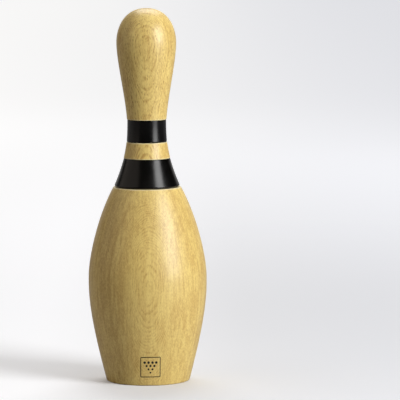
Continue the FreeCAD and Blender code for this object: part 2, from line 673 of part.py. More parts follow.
def cut_fork_slots(body):
    """Cut the two slots in the plug's hub through which the fork's legs reach the shaft."""
    slot_height = f"{dim('fork_thickness')} + 2 * {dim('seat_gap')}"
    near = f"({HALF_SHAFT} - {dim('seat_gap')})"
    far = f"({HALF_SHAFT} + {dim('grip_gap')} + {dim('fork_leg')} + {dim('seat_gap')})"
    deep = f"({SOCKET_RADIUS} + {dim('seat_gap')})"
    for left, right in ((near, far), (f"-{far}", f"-{near}")):
        sketch = new_sketch(body, "XY_Plane", f"{FORK_Z} - {dim('seat_gap')}")
        add_outline(sketch, rectangle(left, right, f"-{deep}", deep))
        extrude(body, sketch, slot_height, cut=True)


def make_shaft_fork():
    """The flat steel fork in the plug that grips two sides of the shaft."""
    body = new_body("shaft_fork")
    near = f"({HALF_SHAFT} + {dim('grip_gap')})"
    far = f"({near} + {dim('fork_leg')})"
    back = f"({SOCKET_RADIUS} + {dim('turning_gap')})"
    back_end = f"({back} + {dim('fork_leg')})"
    reach = f"({SOCKET_RADIUS} + {dim('fork_overrun')})"
    sketch = new_sketch(body, "XY_Plane", FORK_Z)
    outline = [
        (near, f"-{reach}"),
        (far, f"-{reach}"),
        (far, back_end),
        (f"-{far}", back_end),
        (f"-{far}", f"-{reach}"),
        (f"-{near}", f"-{reach}"),
        (f"-{near}", back),
        (near, back),
    ]
    add_outline(sketch, outline)
    extrude(body, sketch, dim("fork_thickness"))
    return body


# ---------------------------------------------------------------- shaft and what rides on it


def cross_hole(body, gap):
    """Cut the hole for the collar's cross pin, along X."""
    sketch = new_sketch(body, "YZ_Plane")
    add_circle(sketch, f"{dim('pin_radius')} + {gap}", ("0", PIN_Z))
    extrude(body, sketch, f"4 * {COLLAR_RADIUS}", cut=True, both=True)


def make_drive_shaft():
    """The square shaft, turned down and threaded at its lower end."""
    body = new_body("drive_shaft")
    sketch = new_sketch(body, "XY_Plane", THREAD_TOP_Z)
    add_outline(sketch, rectangle(f"-{HALF_SHAFT}", HALF_SHAFT, f"-{HALF_SHAFT}", HALF_SHAFT))
    extrude(body, sketch, f"{SHAFT_TOP_Z} - {THREAD_TOP_Z}")
    foot = dim("shaft_foot")
    chamfer = f"{dim('crisp_edge')} * 2"
    threaded_end = [
        ("0", foot),
        (f"{HALF_SHAFT} - {chamfer}", foot),
        (HALF_SHAFT, f"{foot} + {chamfer}"),
        (HALF_SHAFT, THREAD_TOP_Z),
        ("0", THREAD_TOP_Z),
    ]
    turn(body, threaded_end)
    cross_hole(body, dim("screw_gap"))
    return body


def make_shaft_collar():
    """The bearing collar pinned to the shaft: it runs in the spider's hub and hangs the shaft there."""
    body = new_body("shaft_collar")
    sleeve = SLEEVE_RADIUS
    groove = f"({sleeve} - {dim('clip_groove')})"
    groove_z = f"({CLIP_Z} - {dim('clip_play')})"
    outline = [
        ("0", SLEEVE_Z),
        (sleeve, SLEEVE_Z),
        (sleeve, groove_z),
        (groove, groove_z),
        (groove, SPIDER_Z),
        (sleeve, SPIDER_Z),
        (sleeve, SPIDER_TOP_Z),
        (COLLAR_RADIUS, SPIDER_TOP_Z),
        (COLLAR_RADIUS, COLLAR_TOP_Z),
        ("0", COLLAR_TOP_Z),
    ]
    turn(body, outline)
    square_bore(body, f"({HALF_SHAFT} + {dim('insert_gap')})", SLEEVE_Z, f"{COLLAR_TOP_Z} - {SLEEVE_Z}")
    cross_hole(body, dim("screw_gap"))
    return body


def make_collar_pin():
    """The cross pin through the collar and the shaft."""
    body = new_body("collar_pin")
    sketch = new_sketch(body, "YZ_Plane")
    add_circle(sketch, dim("pin_radius"), ("0", PIN_Z))
    extrude(body, sketch, f"2 * {COLLAR_RADIUS} - {dim('crisp_edge')}", both=True)
    return body


def make_retaining_clip():
    """The open spring-steel clip in the collar's groove, under the spider's hub."""
    body = new_body("retaining_clip")
    sketch = new_sketch(body, "XY_Plane", CLIP_Z)
    inner = f"({SLEEVE_RADIUS} - {dim('clip_groove')} + {dim('insert_gap')})"
    add_circle(sketch, CLIP_RADIUS)
    add_circle(sketch, inner)
    extrude(body, sketch, dim("clip_thickness"))
    mouth = new_sketch(body, "XY_Plane", CLIP_Z)
    half_mouth = f"({inner} * 0.7)"
    add_outline(mouth, rectangle(f"-{half_mouth}", half_mouth, f"-{CLIP_RADIUS} * 1.2", "0"))
    extrude(body, mouth, dim("clip_thickness"), cut=True)
    return body


def make_spring_washer():
    """The washer between the spring and the collar's sleeve."""
    body = new_body("spring_washer")
    bore = f"({SHAFT_CORNER} + {dim('shaft_gap')})"
    turn(body, rectangle(bore, WASHER_RADIUS, WASHER_Z, SLEEVE_Z))
    return body


def make_cone_spring():
    """The compression spring that holds the cone down on the adjusting wheel."""
    body = new_body("cone_spring")
    sketch = new_sketch(body)
    wire = f"({dim('spring_wire')} / 2)"
    start = f"({AUGER_TOP_Z} + {wire} + {dim('insert_gap')})"
    add_circle(sketch, wire, (SPRING_RADIUS, start))
    height = f"({WASHER_Z} - {AUGER_TOP_Z} - {dim('spring_wire')} - 2 * {dim('insert_gap')})"
    coil = body.newObject("PartDesign::AdditiveHelix", "cone_spring_coil")
    coil.Profile = sketch
    coil.ReferenceAxis = (sketch, ["V_Axis"])
    coil.Mode = "height-turns-angle"
    coil.setExpression("Height", height)
    coil.setExpression("Turns", dim("spring_turns"))
    settle(coil)
    return body


# ---------------------------------------------------------------- grinder


def make_grinder_housing():
    """The flanged housing screwed into the body's underside, with keys for the grinding ring."""
    body = new_body("grinder_housing")
    outline = [
        (LIP_RADIUS, HOUSING_Z),
        (FLANGE_RADIUS, HOUSING_Z),
        (FLANGE_RADIUS, dim("recess_depth")),
        (HOUSING_RADIUS, dim("recess_depth")),
        (HOUSING_RADIUS, HOUSING_TOP_Z),
        (SPIDER_SEAT_RADIUS, HOUSING_TOP_Z),
        (SPIDER_SEAT_RADIUS, SPIDER_Z),
        (RING_SEAT_RADIUS, SPIDER_Z),
        (RING_SEAT_RADIUS, GRIND_RING_Z),
        (LIP_RADIUS, GRIND_RING_Z),
    ]
    turn(body, outline)
    sketch = new_sketch(body, "XY_Plane", GRIND_RING_Z)
    half_key = f"{dim('key_width')} / 2"
    key_root = f"({RING_SEAT_RADIUS} + {dim('housing_wall')} / 2)"
    key_tip = f"({GRIND_RING_RADIUS} - {dim('key_depth')})"
    add_outline(sketch, rectangle(key_tip, key_root, f"-{half_key}", half_key))
    key = extrude(body, sketch, dim("grind_ring_height"))
    repeat(body, [key], KEY_COUNT)
    cut_screw_holes(body, HOUSING_SCREW_CIRCLE, HOUSING_Z, dim("housing_screw_length"))
    turn_to_first(body, SCREW_START)
    return body


def notch(body, radius, depth, height, angle="0"):
    """A sketch with a diamond that bites depth into a round wall of that radius, at a height and an
    angle. It is as deep as it is wide to either side."""
    sketch = new_sketch(body, "XY_Plane", height)
    if angle != "0":
        sketch.AttachmentOffset = FreeCAD.Placement(
            Vector(0, 0, value_of(height)), FreeCAD.Rotation(Vector(0, 0, 1), value_of(angle))
        )
        sketch.setExpression("AttachmentOffset.Base.z", str(height))
        doc.recompute()
    inner, outer = f"({radius} - {depth})", f"({radius} + {depth})"
    add_outline(sketch, [(inner, "0"), (radius, f"-{depth}"), (outer, "0"), (radius, depth)])
    return sketch


def cut_teeth(body, notches, count):
    """Cut a ring of slanted grooves through a row of notches, from the lowest to the highest."""
    loft = body.newObject("PartDesign::SubtractiveLoft", f"{body.Name}_groove")
    loft.Profile = notches[0]
    loft.Sections = notches[1:]
    loft.Ruled = True
    settle(loft)
    return repeat(body, [loft], count)


def make_grinding_ring():
    """The ceramic ring: a funnel above its throat, grinding teeth below it, keyed to the housing."""
    body = new_body("grinding_ring")
    throat_z = f"({GRIND_RING_Z} + {dim('grind_ring_throat_height')})"
    funnel = f"({GRIND_RING_RADIUS} - {dim('retainer_width')} + {dim('seat_gap')})"
    outline = [
        (EXIT_RADIUS, GRIND_RING_Z),
        (GRIND_RING_RADIUS, GRIND_RING_Z),
        (GRIND_RING_RADIUS, GRIND_RING_TOP_Z),
        (funnel, GRIND_RING_TOP_Z),
        (THROAT_RADIUS, throat_z),
    ]
    turn(body, outline)
    sketch = new_sketch(body, "XY_Plane", GRIND_RING_Z)
    half_key = f"({dim('key_width')} / 2 + {dim('seat_gap')})"
    key_tip = f"({GRIND_RING_RADIUS} - {dim('key_depth')} - {dim('seat_gap')})"
    outside = f"({GRIND_RING_RADIUS} + {dim('key_depth')})"
    add_outline(sketch, rectangle(key_tip, outside, f"-{half_key}", half_key))
    key = extrude(body, sketch, dim("grind_ring_height"), cut=True)
    repeat(body, [key], KEY_COUNT)
    depth = dim("ring_tooth_depth")
    breakout = f"({throat_z} + {depth} * 2)"
    low = notch(body, EXIT_RADIUS, depth, GRIND_RING_Z)
    high = notch(body, THROAT_RADIUS, depth, breakout, f"-{dim('ring_tooth_sweep')}")
    cut_teeth(body, [low, high], RING_TOOTH_COUNT)
    turn_to_first(body, SCREW_START)
    return body


def make_ring_retainer():
    """The snap ring that holds the grinding ring down in the housing."""
    body = new_body("ring_retainer")
    inner = f"({GRIND_RING_RADIUS} - {dim('retainer_width')})"
    top = f"({GRIND_RING_TOP_Z} + {dim('retainer_height')})"
    turn(body, rectangle(inner, GRIND_RING_RADIUS, GRIND_RING_TOP_Z, top))
    return body


def make_bearing_spider():
    """The three-armed bridge in the top of the housing, whose hub carries the shaft's collar."""
    body = new_body("bearing_spider")
    turn(body, rectangle(HUB_BORE, HUB_RADIUS, SPIDER_Z, SPIDER_TOP_Z))
    sketch = new_sketch(body, "XY_Plane", SPIDER_Z)
    half_arm = f"{dim('arm_width')} / 2"
    root = f"({HUB_BORE} + {dim('hub_wall')} / 2)"
    tip = f"({SPIDER_RADIUS} - {dim('spider_rim')} / 2)"
    add_outline(sketch, rectangle(root, tip, f"-{half_arm}", half_arm))
    arm = extrude(body, sketch, dim("spider_height"))
    repeat(body, [arm], ARM_COUNT)
    turn(body, rectangle(f"({SPIDER_RADIUS} - {dim('spider_rim')})", SPIDER_RADIUS, SPIDER_Z, SPIDER_TOP_Z))
    turn_to_first(body, ARM_START)
    return body


def make_grinding_cone():
    """The ceramic cone: feed grooves at the top that run out into grinding teeth at the rim."""
    body = new_body("grinding_cone")
    waist_z = f"({CONE_Z} + {dim('cone_waist_height')})"
    outline = [
        ("0", CONE_Z),
        (dim("cone_radius"), CONE_Z),
        (dim("cone_radius"), f"{CONE_Z} + {dim('cone_land')}"),
        (dim("cone_waist_radius"), waist_z),
        (CONE_TOP_RADIUS, CONE_TOP_Z),
        ("0", CONE_TOP_Z),
    ]
    turn(body, outline)
    sketch = new_sketch(body, "XY_Plane", CONE_Z)
    add_outline(sketch, hexagon(f"({HEX_WIDTH} + {dim('hex_gap')})"))
    extrude(body, sketch, dim("cone_height"), cut=True)
    rim = notch(body, dim("cone_radius"), dim("tooth_depth"), CONE_Z)
    waist = notch(body, dim("cone_waist_radius"), dim("groove_depth"), waist_z, dim("tooth_sweep"))
    top_angle = f"{dim('tooth_sweep')} * 1.5"
    top = notch(body, CONE_TOP_RADIUS, dim("groove_top_depth"), CONE_TOP_Z, top_angle)
    cut_teeth(body, [rim, waist, top], TOOTH_COUNT)
    return body


def make_cone_carrier():
    """The plastic carrier under the cone: a flange and a hexagonal hub that slides on the shaft."""
    body = new_body("cone_carrier")
    turn(body, rectangle("0", dim("carrier_radius"), CARRIER_Z, CONE_Z))
    sketch = new_sketch(body, "XY_Plane", CONE_Z)
    add_outline(sketch, hexagon(HEX_WIDTH))
    extrude(body, sketch, f"{AUGER_TOP_Z} - {CONE_Z}")
    square_bore(body, HALF_SOCKET, CARRIER_Z, f"{AUGER_TOP_Z} - {CARRIER_Z}")
    return body


def make_feed_auger():
    """The cap on the carrier's hub, whose slanted vanes push peppercorns into the throat."""
    body = new_body("feed_auger")
    turn(body, rectangle("0", AUGER_HUB_RADIUS, CONE_TOP_Z, AUGER_TOP_Z))
    sketch = new_sketch(body, "XY_Plane", CONE_TOP_Z)
    half_vane = f"{dim('vane_width')} / 2"
    root = f"({AUGER_HUB_RADIUS} - {half_vane})"
    tip = f"({AUGER_HUB_RADIUS} + {dim('vane_reach')})"
    outline = [
        (root, f"-{half_vane}"),
        (tip, half_vane),
        (tip, f"3 * {half_vane}"),
        (root, half_vane),
    ]
    add_outline(sketch, outline)
    vane = extrude(body, sketch, f"{dim('auger_height')} - {dim('vane_drop')}")
    repeat(body, [vane], VANE_COUNT)
    bore = new_sketch(body, "XY_Plane", CONE_TOP_Z)
    add_outline(bore, hexagon(f"({HEX_WIDTH} + {dim('hex_gap')})"))
    extrude(body, bore, dim("auger_height"), cut=True)
    return body


def make_adjusting_wheel():
    """The grooved finger wheel under the cone."""
    body = new_body("adjusting_wheel")
    bore = f"({INSERT_RADIUS} + {dim('insert_gap')})"
    wheel = turn(body, rectangle(bore, dim("wheel_radius"), WHEEL_Z, CARRIER_Z))
    edges = [(dim("wheel_radius"), WHEEL_Z)]
    round_edges(body, wheel, dim("crisp_edge"), edges)
    sketch = new_sketch(body, "XY_Plane", WHEEL_Z)
    add_circle(sketch, dim("grip_radius"), (f"{dim('wheel_radius')} + {dim('grip_radius')} * 0.5", "0"))
    groove = extrude(body, sketch, dim("wheel_height"), cut=True)
    repeat(body, [groove], GRIP_COUNT)
    return body


def make_threaded_insert():
    """The brass nut moulded into the wheel, which runs on the shaft's thread."""
    body = new_body("threaded_insert")
    turn(body, rectangle(INSERT_BORE, INSERT_RADIUS, WHEEL_Z, CARRIER_Z))
    return body


def make_housing_screws():
    """The three screws that hold the grinder housing in the body."""
    body = make_screws(
        "housing_screws", HOUSING_SCREW_CIRCLE, HOUSING_Z, dim("housing_screw_length")
    )
    turn_to_first(body, SCREW_START)
    return body


def make_plug_screws():
    """The three screws that hold the plug to the skirt ring."""
    return make_screws("plug_screws", PLUG_SCREW_CIRCLE, BOSS_Z, dim("plug_screw_length"))


PIECES = [
    make_body_shell,
    make_neck_bush,
    make_grinder_housing,
    make_grinding_ring,
    make_ring_retainer,
    make_bearing_spider,
    make_housing_screws,
    make_drive_shaft,
    make_shaft_collar,
    make_collar_pin,
    make_retaining_clip,
    make_spring_washer,
    make_cone_spring,
    make_cone_carrier,
    make_grinding_cone,
    make_feed_auger,
    make_adjusting_wheel,
    make_threaded_insert,
    make_knob,
    make_neck_band,
    make_neck_ring,
    make_skirt_ring,
    make_head_plug,
    make_plug_screws,
    make_shaft_fork,
]


def check_document():
    """Stop if any object of the document failed to recompute."""
    for item in doc.Objects:
        if "Invalid" in item.State or "Error" in item.State:
            raise RuntimeError(f"{item.Label} is in state {item.State}")


def export(pieces):
    """Write each piece's shape to parts/LABEL.step."""
    os.makedirs("parts", exist_ok=True)
    for piece in pieces:
        shape = piece.Shape
        if shape.isNull() or not shape.isValid() or not shape.Solids:
            raise RuntimeError(f"{piece.Label} has no valid solid")
        shape.exportStep(os.path.join("parts", f"{piece.Label}.step"))
        print(f"{piece.Label}: {len(shape.Solids)} solid(s), {shape.Volume:.1f} mm3")


def main():
    """Build every piece in a sheet-driven document and export it."""
    fill_sheet()
    pieces = [make() for make in PIECES]
    doc.recompute()
    check_document()
    export(pieces)


main()
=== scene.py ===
"""Looks for a turned beech pepper mill in the shape of a bowling pin.

The mill stands on the floor at z = 0 with its axis on +Z, and it faces -Y. Positions are metres.
The finishes work in millimetres of the piece they are on, so grain and texture keep their real
size and stay with a piece when it moves.
"""

import logging
import math
from collections.abc import Sequence
from dataclasses import dataclass
from enum import Enum

import bpy
from mathutils import Matrix, Vector


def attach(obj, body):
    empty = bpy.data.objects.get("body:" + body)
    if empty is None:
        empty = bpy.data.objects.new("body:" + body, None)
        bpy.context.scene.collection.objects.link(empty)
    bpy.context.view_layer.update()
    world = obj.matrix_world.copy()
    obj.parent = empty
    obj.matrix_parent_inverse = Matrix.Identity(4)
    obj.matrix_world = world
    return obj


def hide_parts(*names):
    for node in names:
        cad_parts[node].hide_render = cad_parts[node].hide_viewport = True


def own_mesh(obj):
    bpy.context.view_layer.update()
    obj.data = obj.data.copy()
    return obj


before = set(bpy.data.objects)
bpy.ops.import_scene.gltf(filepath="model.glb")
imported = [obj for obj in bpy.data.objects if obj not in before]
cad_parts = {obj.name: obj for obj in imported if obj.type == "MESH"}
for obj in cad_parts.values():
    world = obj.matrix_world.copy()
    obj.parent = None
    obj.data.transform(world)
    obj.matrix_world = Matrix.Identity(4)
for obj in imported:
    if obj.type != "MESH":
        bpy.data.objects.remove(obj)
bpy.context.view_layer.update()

MM = 0.001
SHARP_ANGLE = math.radians(35.0)
SENSOR_WIDTH = 36.0
Colour = tuple[float, float, float]
Socket = bpy.types.NodeSocket
Value = float | Socket
Point = tuple[float, float, float]
FlatPoint = tuple[float, float]
Span = tuple[float, float]
Surface = tuple[list[Point], list[tuple[int, ...]]]
BLACK: Colour = (0.0, 0.0, 0.0)
log = logging.getLogger("pepper_mill")


# ---------------------------------------------------------------- node trees


class NodeBoard:
    """Short ways to fill one node tree."""

    def __init__(self, tree: bpy.types.NodeTree) -> None:
        """Start from an empty tree."""
        self.tree = tree
        tree.nodes.clear()

    def add(self, kind: str, inputs: dict | None = None, **settings: object) -> bpy.types.Node:
        """Add a node.

        Args:
            kind: the node's type name.
            inputs: what to link or set, by input name or number.
            settings: properties of the node itself.

        Returns:
            The new node.
        """
        node = self.tree.nodes.new(kind)
        for name, value in settings.items():
            setattr(node, name, value)
        for name, value in (inputs or {}).items():
            if isinstance(value, Socket):
                self.tree.links.new(value, node.inputs[name])
            else:
                node.inputs[name].default_value = value
        return node

    def math(self, operation: str, *values: Value) -> Socket:
        """The result of one arithmetic step."""
        return self.add("ShaderNodeMath", dict(enumerate(values)), operation=operation).outputs[0]

    def times(self, first: Value, second: Value) -> Socket:
        """The product of two values."""
        return self.math("MULTIPLY", first, second)

    def total(self, *terms: Value) -> Socket:
        """The sum of several values."""
        result = terms[0]
        for term in terms[1:]:
            result = self.math("ADD", result, term)
        return result

    def from_axis(self, x: Value, y: Value) -> Socket:
        """The distance from an axis, given the distances from it in two directions."""
        return self.math("SQRT", self.total(self.times(x, x), self.times(y, y)))

    def remap(self, value: Value, span: Span, to: Span = (0.0, 1.0)) -> Socket:
        """Ease a value from one span onto another, and hold it beyond the ends.

        Args:
            value: the value to ease.
            span: where the easing starts and ends.
            to: the results at those two ends.

        Returns:
            The eased value.
        """
        inputs = dict(enumerate((value, *span, *to)))
        return self.add("ShaderNodeMapRange", inputs, interpolation_type="SMOOTHSTEP").outputs[0]

    def join(self, x: Value, y: Value, z: Value) -> Socket:
        """A vector from three values."""
        return self.add("ShaderNodeCombineXYZ", {0: x, 1: y, 2: z}).outputs[0]

    def split(self, vector: Socket) -> tuple[Socket, Socket, Socket]:
        """The three values of a vector."""
        return tuple(self.add("ShaderNodeSeparateXYZ", {0: vector}).outputs)

    def in_sizes(self, vector: Socket, sizes: Point) -> Socket:
        """Coordinates counted in a size of their own along each axis."""
        inputs = {0: vector, 1: sizes}
        return self.add("ShaderNodeVectorMath", inputs, operation="DIVIDE").outputs[0]

    def noise(self, place: Socket, sizes: Point, detail: float = 2.0) -> Socket:
        """Smooth noise round 0.5 whose lumps have the given size along each axis."""
        inputs = {"Vector": self.in_sizes(place, sizes), "Scale": 1.0, "Detail": detail}
        return self.add("ShaderNodeTexNoise", inputs).outputs[0]

    def noise_along(self, distance: Socket, size: float, detail: float = 1.0) -> Socket:
        """Smooth noise round 0.5 that depends on one distance alone."""
        inputs = {"W": self.math("DIVIDE", distance, size), "Scale": 1.0, "Detail": detail}
        return self.add("ShaderNodeTexNoise", inputs, noise_dimensions="1D").outputs[0]

    def cells(self, place: Socket, sizes: Point) -> tuple[Socket, Socket]:
        """Scattered spots.

        Args:
            place: the coordinates.
            sizes: how far the spots stand apart along each axis.

        Returns:
            The distance to the nearest spot's centre, and a value of its own for each spot.
        """
        inputs = {"Vector": self.in_sizes(place, sizes), "Scale": 1.0}
        node = self.add("ShaderNodeTexVoronoi", inputs)
        return node.outputs["Distance"], self.split(node.outputs["Color"])[0]

    def blend(self, share: Value, first: Socket | Colour, second: Socket | Colour) -> Socket:
        """Mix two colours.

        Args:
            share: how much of the second colour there is, from 0 to 1.
            first: the first colour.
            second: the second colour.

        Returns:
            The mixed colour.
        """
        first, second = (c if isinstance(c, Socket) else (*c, 1.0) for c in (first, second))
        inputs = {0: share, 6: first, 7: second}
        return self.add("ShaderNodeMix", inputs, data_type="RGBA").outputs[2]

    def millimetres(self) -> Socket:
        """The place on the piece, in millimetres of the piece's own frame."""
        place = self.add("ShaderNodeTexCoord").outputs["Object"]
        inputs = {0: place, "Scale": 1.0 / MM}
        return self.add("ShaderNodeVectorMath", inputs, operation="SCALE").outputs[0]

    def bump(self, height: Socket, depth: float, normal: Socket | None = None) -> Socket:
        """The normal of a surface with a fine relief.

        Args:
            height: the relief, from 0 to 1.
            depth: how deep the relief is, in millimetres.
            normal: a relief that this one lies on.

        Returns:
            The bent normal.
        """
        inputs = {"Height": height, "Distance": depth * MM, "Strength": 1.0}
        if normal is not None:
            inputs["Normal"] = normal
        return self.add("ShaderNodeBump", inputs).outputs[0]

    def background_rays(self, mirrored: Value) -> Socket:
        """How much of the pale background a ray sees.

        Args:
            mirrored: the share that reflections see. The camera and glass see all of it.

        Returns:
            The share for the ray at hand, from 0 to 1.
        """
        rays = self.add("ShaderNodeLightPath").outputs
        reflected = self.times(rays["Is Glossy Ray"], mirrored)
        seen = self.math("MAXIMUM", rays["Is Camera Ray"], reflected)
        return self.math("MAXIMUM", seen, rays["Is Transmission Ray"])

    def finish(self, **inputs: Value) -> None:
        """Put a principled surface at the end of the tree, its inputs named with underscores."""
        named = {name.replace("_", " "): value for name, value in inputs.items()}
        shader = self.add("ShaderNodeBsdfPrincipled", named)
        self.add("ShaderNodeOutputMaterial", {0: shader.outputs[0]})


# ---------------------------------------------------------------- finishes


@dataclass(frozen=True)
class Finish:
    """What every finish has: a name, and a material made once and shared."""

    name: str

    def material(self) -> bpy.types.Material:
        """The finish's material, made at its first use."""
        found = bpy.data.materials.get(self.name)
        if found is None:
            found = bpy.data.materials.new(self.name)
            found.use_nodes = True
            self.fill(NodeBoard(found.node_tree))
        return found

    def fill(self, board: NodeBoard) -> None:
        """Lay out the finish's nodes.

        Args:
            board: the node tree to fill.
        """
        raise NotImplementedError


@dataclass(frozen=True)
class Pattern:
    """A smooth random pattern in the wood.

    Attributes:
        sizes: the size of its lumps round, out and along the tree, in millimetres.
        detail: how many finer layers lie over the lumps.
        span: the part of the noise that is spread over 0 to 1.
    """

    sizes: Point
    detail: float = 2.0
    span: Span = (0.35, 0.65)

    def on(self, board: NodeBoard, tree: Socket) -> Socket:
        """The pattern at a place in the tree's coordinates, from 0 to 1."""
        return board.remap(board.noise(tree, self.sizes, self.detail), self.span)


STRIPES = Pattern((2.6, 4.0, 48.0), 3.0)
CLOUDS = Pattern((13.0, 9.0, 30.0))
FIBRES = Pattern((0.75, 1.0, 7.0), 3.0, (0.3, 0.7))
SPECKLE = Pattern((0.85, 1.2, 1.6), 1.0)
FINE_FIBRES = Pattern((0.16, 0.3, 1.8), 2.0, (0.25, 0.75))
BAND_WEIGHT, FIBRE_WEIGHT, SPECKLE_WEIGHT, FINE_WEIGHT = 0.18, 0.22, 0.26, 0.12


@dataclass(frozen=True)
class Beech(Finish):
    """Turned beech under a thin satin oil, cut from a tree whose centre lies outside the piece.

    Attributes:
        pith: where the tree's centre lies, in millimetres from the mill's axis.
        ring: width of one year's ring, in millimetres.
        light: the pale early wood.
        dark: the darkest streaks.
        fleck: the short rays.
        fleck_share: how strongly the rays show.
        fleck_size: how far the rays stand apart round, across and along the tree.
        edge_highlight: a pale painted highlight beside a turned edge, where its rounding catches
            the light.
        edges: heights of the piece's turned edges.
        cloudy: how strongly the tone drifts from place to place.
        striped: how strongly the long stripes show.
        ringed: how strongly the year rings show.
    """

    pith: tuple[float, float] = (0.0, -92.0)
    ring: float = 0.62
    light: Colour = (0.760, 0.580, 0.196)
    dark: Colour = (0.50, 0.305, 0.083)
    fleck: Colour = (0.33, 0.165, 0.038)
    fleck_share: float = 0.32
    fleck_size: Point = (0.95, 1.4, 2.2)
    edge_highlight: Colour = (0.84, 0.74, 0.44)
    edges: tuple[float, ...] = ()
    cloudy: float = 0.17
    striped: float = 0.23
    ringed: float = 0.32

    def fill(self, board: NodeBoard) -> None:
        """Rings, tone bands, fibres and rays of one tree, in its own round coordinates.

        Args:
            board: the node tree to fill.
        """
        place = board.millimetres()
        across, distance, tree = self.in_tree(board, place)
        season = self.season(board, distance)
        fibres, fine = FIBRES.on(board, tree), FINE_FIBRES.on(board, tree)
        tone = board.total(
            board.times(self.bands(board, distance, across), BAND_WEIGHT),
            board.times(STRIPES.on(board, tree), self.striped),
            board.times(CLOUDS.on(board, tree), self.cloudy),
            board.times(fibres, FIBRE_WEIGHT),
            board.times(SPECKLE.on(board, tree), SPECKLE_WEIGHT),
            board.times(fine, FINE_WEIGHT),
            board.times(self.late_wood(board, season, tree), self.ringed),
        )
        colour = board.blend(board.remap(tone, (0.15, 1.25)), self.light, self.dark)
        spots = self.rays(board, season, tree)
        colour = board.blend(board.times(spots, self.fleck_share), colour, self.fleck)
        # painted highlight: pale colour beside the turned edges
        colour = self.paint_edge_highlights(board, colour, board.split(place)[2], tree)
        relief = board.total(board.times(fibres, 0.5), board.times(fine, 0.5))
        relief = board.math("SUBTRACT", relief, board.times(spots, 0.6))
        board.finish(
            Base_Color=colour,
            Roughness=board.remap(fibres, (0.0, 1.0), (0.40, 0.48)),
            Specular_IOR_Level=0.42,
            Normal=board.bump(relief, 0.012),
            Coat_Weight=0.30,
            Coat_Roughness=0.30,
        )

    def in_tree(self, board: NodeBoard, place: Socket) -> tuple[Socket, Socket, Socket]:
        """The tree's own coordinates, a little bent as a trunk is.

        Args:
            board: the node tree to fill.
            place: the place on the piece, in millimetres.

        Returns:
            The distance beside the tree's centre, the distance from it, and the place counted
            round, out and along the tree.
        """
        x, y, z = board.split(place)
        sway = board.noise(board.join(0.0, 0.0, z), (1.0, 1.0, 90.0), 1.0)
        lean = board.remap(sway, (0.0, 1.0), (-1.6, 1.6))
        across = board.total(x, -self.pith[0], lean)
        deep = board.math("SUBTRACT", y, self.pith[1])
        waves = board.remap(board.noise(place, (16.0, 16.0, 20.0)), (0.2, 0.8), (-0.4, 0.4))
        distance = board.math("ADD", board.from_axis(across, deep), waves)
        round_way = board.times(board.math("ARCTAN2", across, deep), -self.pith[1])
        return across, distance, board.join(round_way, distance, z)

    def season(self, board: NodeBoard, distance: Socket) -> Socket:
        """How far the year has come at a distance from the tree's centre.

        Args:
            board: the node tree to fill.
            distance: the distance from the tree's centre, in millimetres.

        Returns:
            The season, from 0 in spring to 1, in years that differ in width.
        """
        years = board.math("DIVIDE", distance, self.ring)
        years = board.math("ADD", years, board.times(board.noise_along(distance, 5.0), 2.5))
        return board.math("FRACT", years)

    def late_wood(self, board: NodeBoard, season: Socket, tree: Socket) -> Socket:
        """The dark line late in each year, stronger in some places than in others.

        Args:
            board: the node tree to fill.
            season: how far the year has come.
            tree: the place in the tree's coordinates.

        Returns:
            The line's strength, from 0 to 1.
        """
        rise = board.remap(season, (0.25, 0.8))
        fall = board.remap(season, (0.8, 1.0), (1.0, 0.0))
        strength = board.remap(board.noise(tree, (5.0, 1.8, 6.0)), (0.38, 0.62), (0.1, 1.0))
        return board.times(board.times(rise, fall), strength)

    def bands(self, board: NodeBoard, distance: Socket, across: Socket) -> Socket:
        """Groups of darker years, faint where the grain lies flat.

        Args:
            board: the node tree to fill.
            distance: the distance from the tree's centre, in millimetres.
            across: the distance beside the tree's centre, in millimetres.

        Returns:
            How dark the years are, from 0 to 1.
        """
        aside = board.remap(board.math("ABSOLUTE", across), (8.0, 24.0), (0.1, 1.0))
        years = board.remap(board.noise_along(distance, 2.4, 2.0), (0.35, 0.65))
        return board.times(years, aside)

    def rays(self, board: NodeBoard, season: Socket, tree: Socket) -> Socket:
        """The short dark flecks, fewer in the early wood.

        Args:
            board: the node tree to fill.
            season: how far the year has come.
            tree: the place in the tree's coordinates.

        Returns:
            The flecks' strength, from 0 to 1.
        """
        near, own = board.cells(tree, self.fleck_size)
        spots = board.remap(near, (0.16, 0.52), (1.0, 0.0))
        spots = board.times(spots, board.remap(own, (0.35, 0.6)))
        return board.times(spots, board.remap(season, (0.25, 0.65), (0.1, 1.0)))

    def paint_edge_highlights(self, board: NodeBoard, colour: Socket, height: Socket, tree: Socket) -> Socket:
        """Paint a pale highlight beside the turned edges, where their roundings catch the light.

        Args:
            board: the node tree to fill.
            colour: the colour of the wood.
            height: the height on the mill, in millimetres.
            tree: the place in the tree's coordinates.

        Returns:
            The colour with painted highlights beside its edges.
        """
        # painted highlight: patchy pale colour next to each turned edge
        highlight_patches = board.remap(board.noise(tree, (3.0, 3.0, 1.5)), (0.3, 0.6), (0.35, 0.85))
        for edge in self.edges:
            beside = board.math("ABSOLUTE", board.math("SUBTRACT", height, edge))
            share = board.times(board.remap(beside, (0.25, 0.9), (1.0, 0.0)), highlight_patches)
            colour = board.blend(share, colour, self.edge_highlight)
        return colour


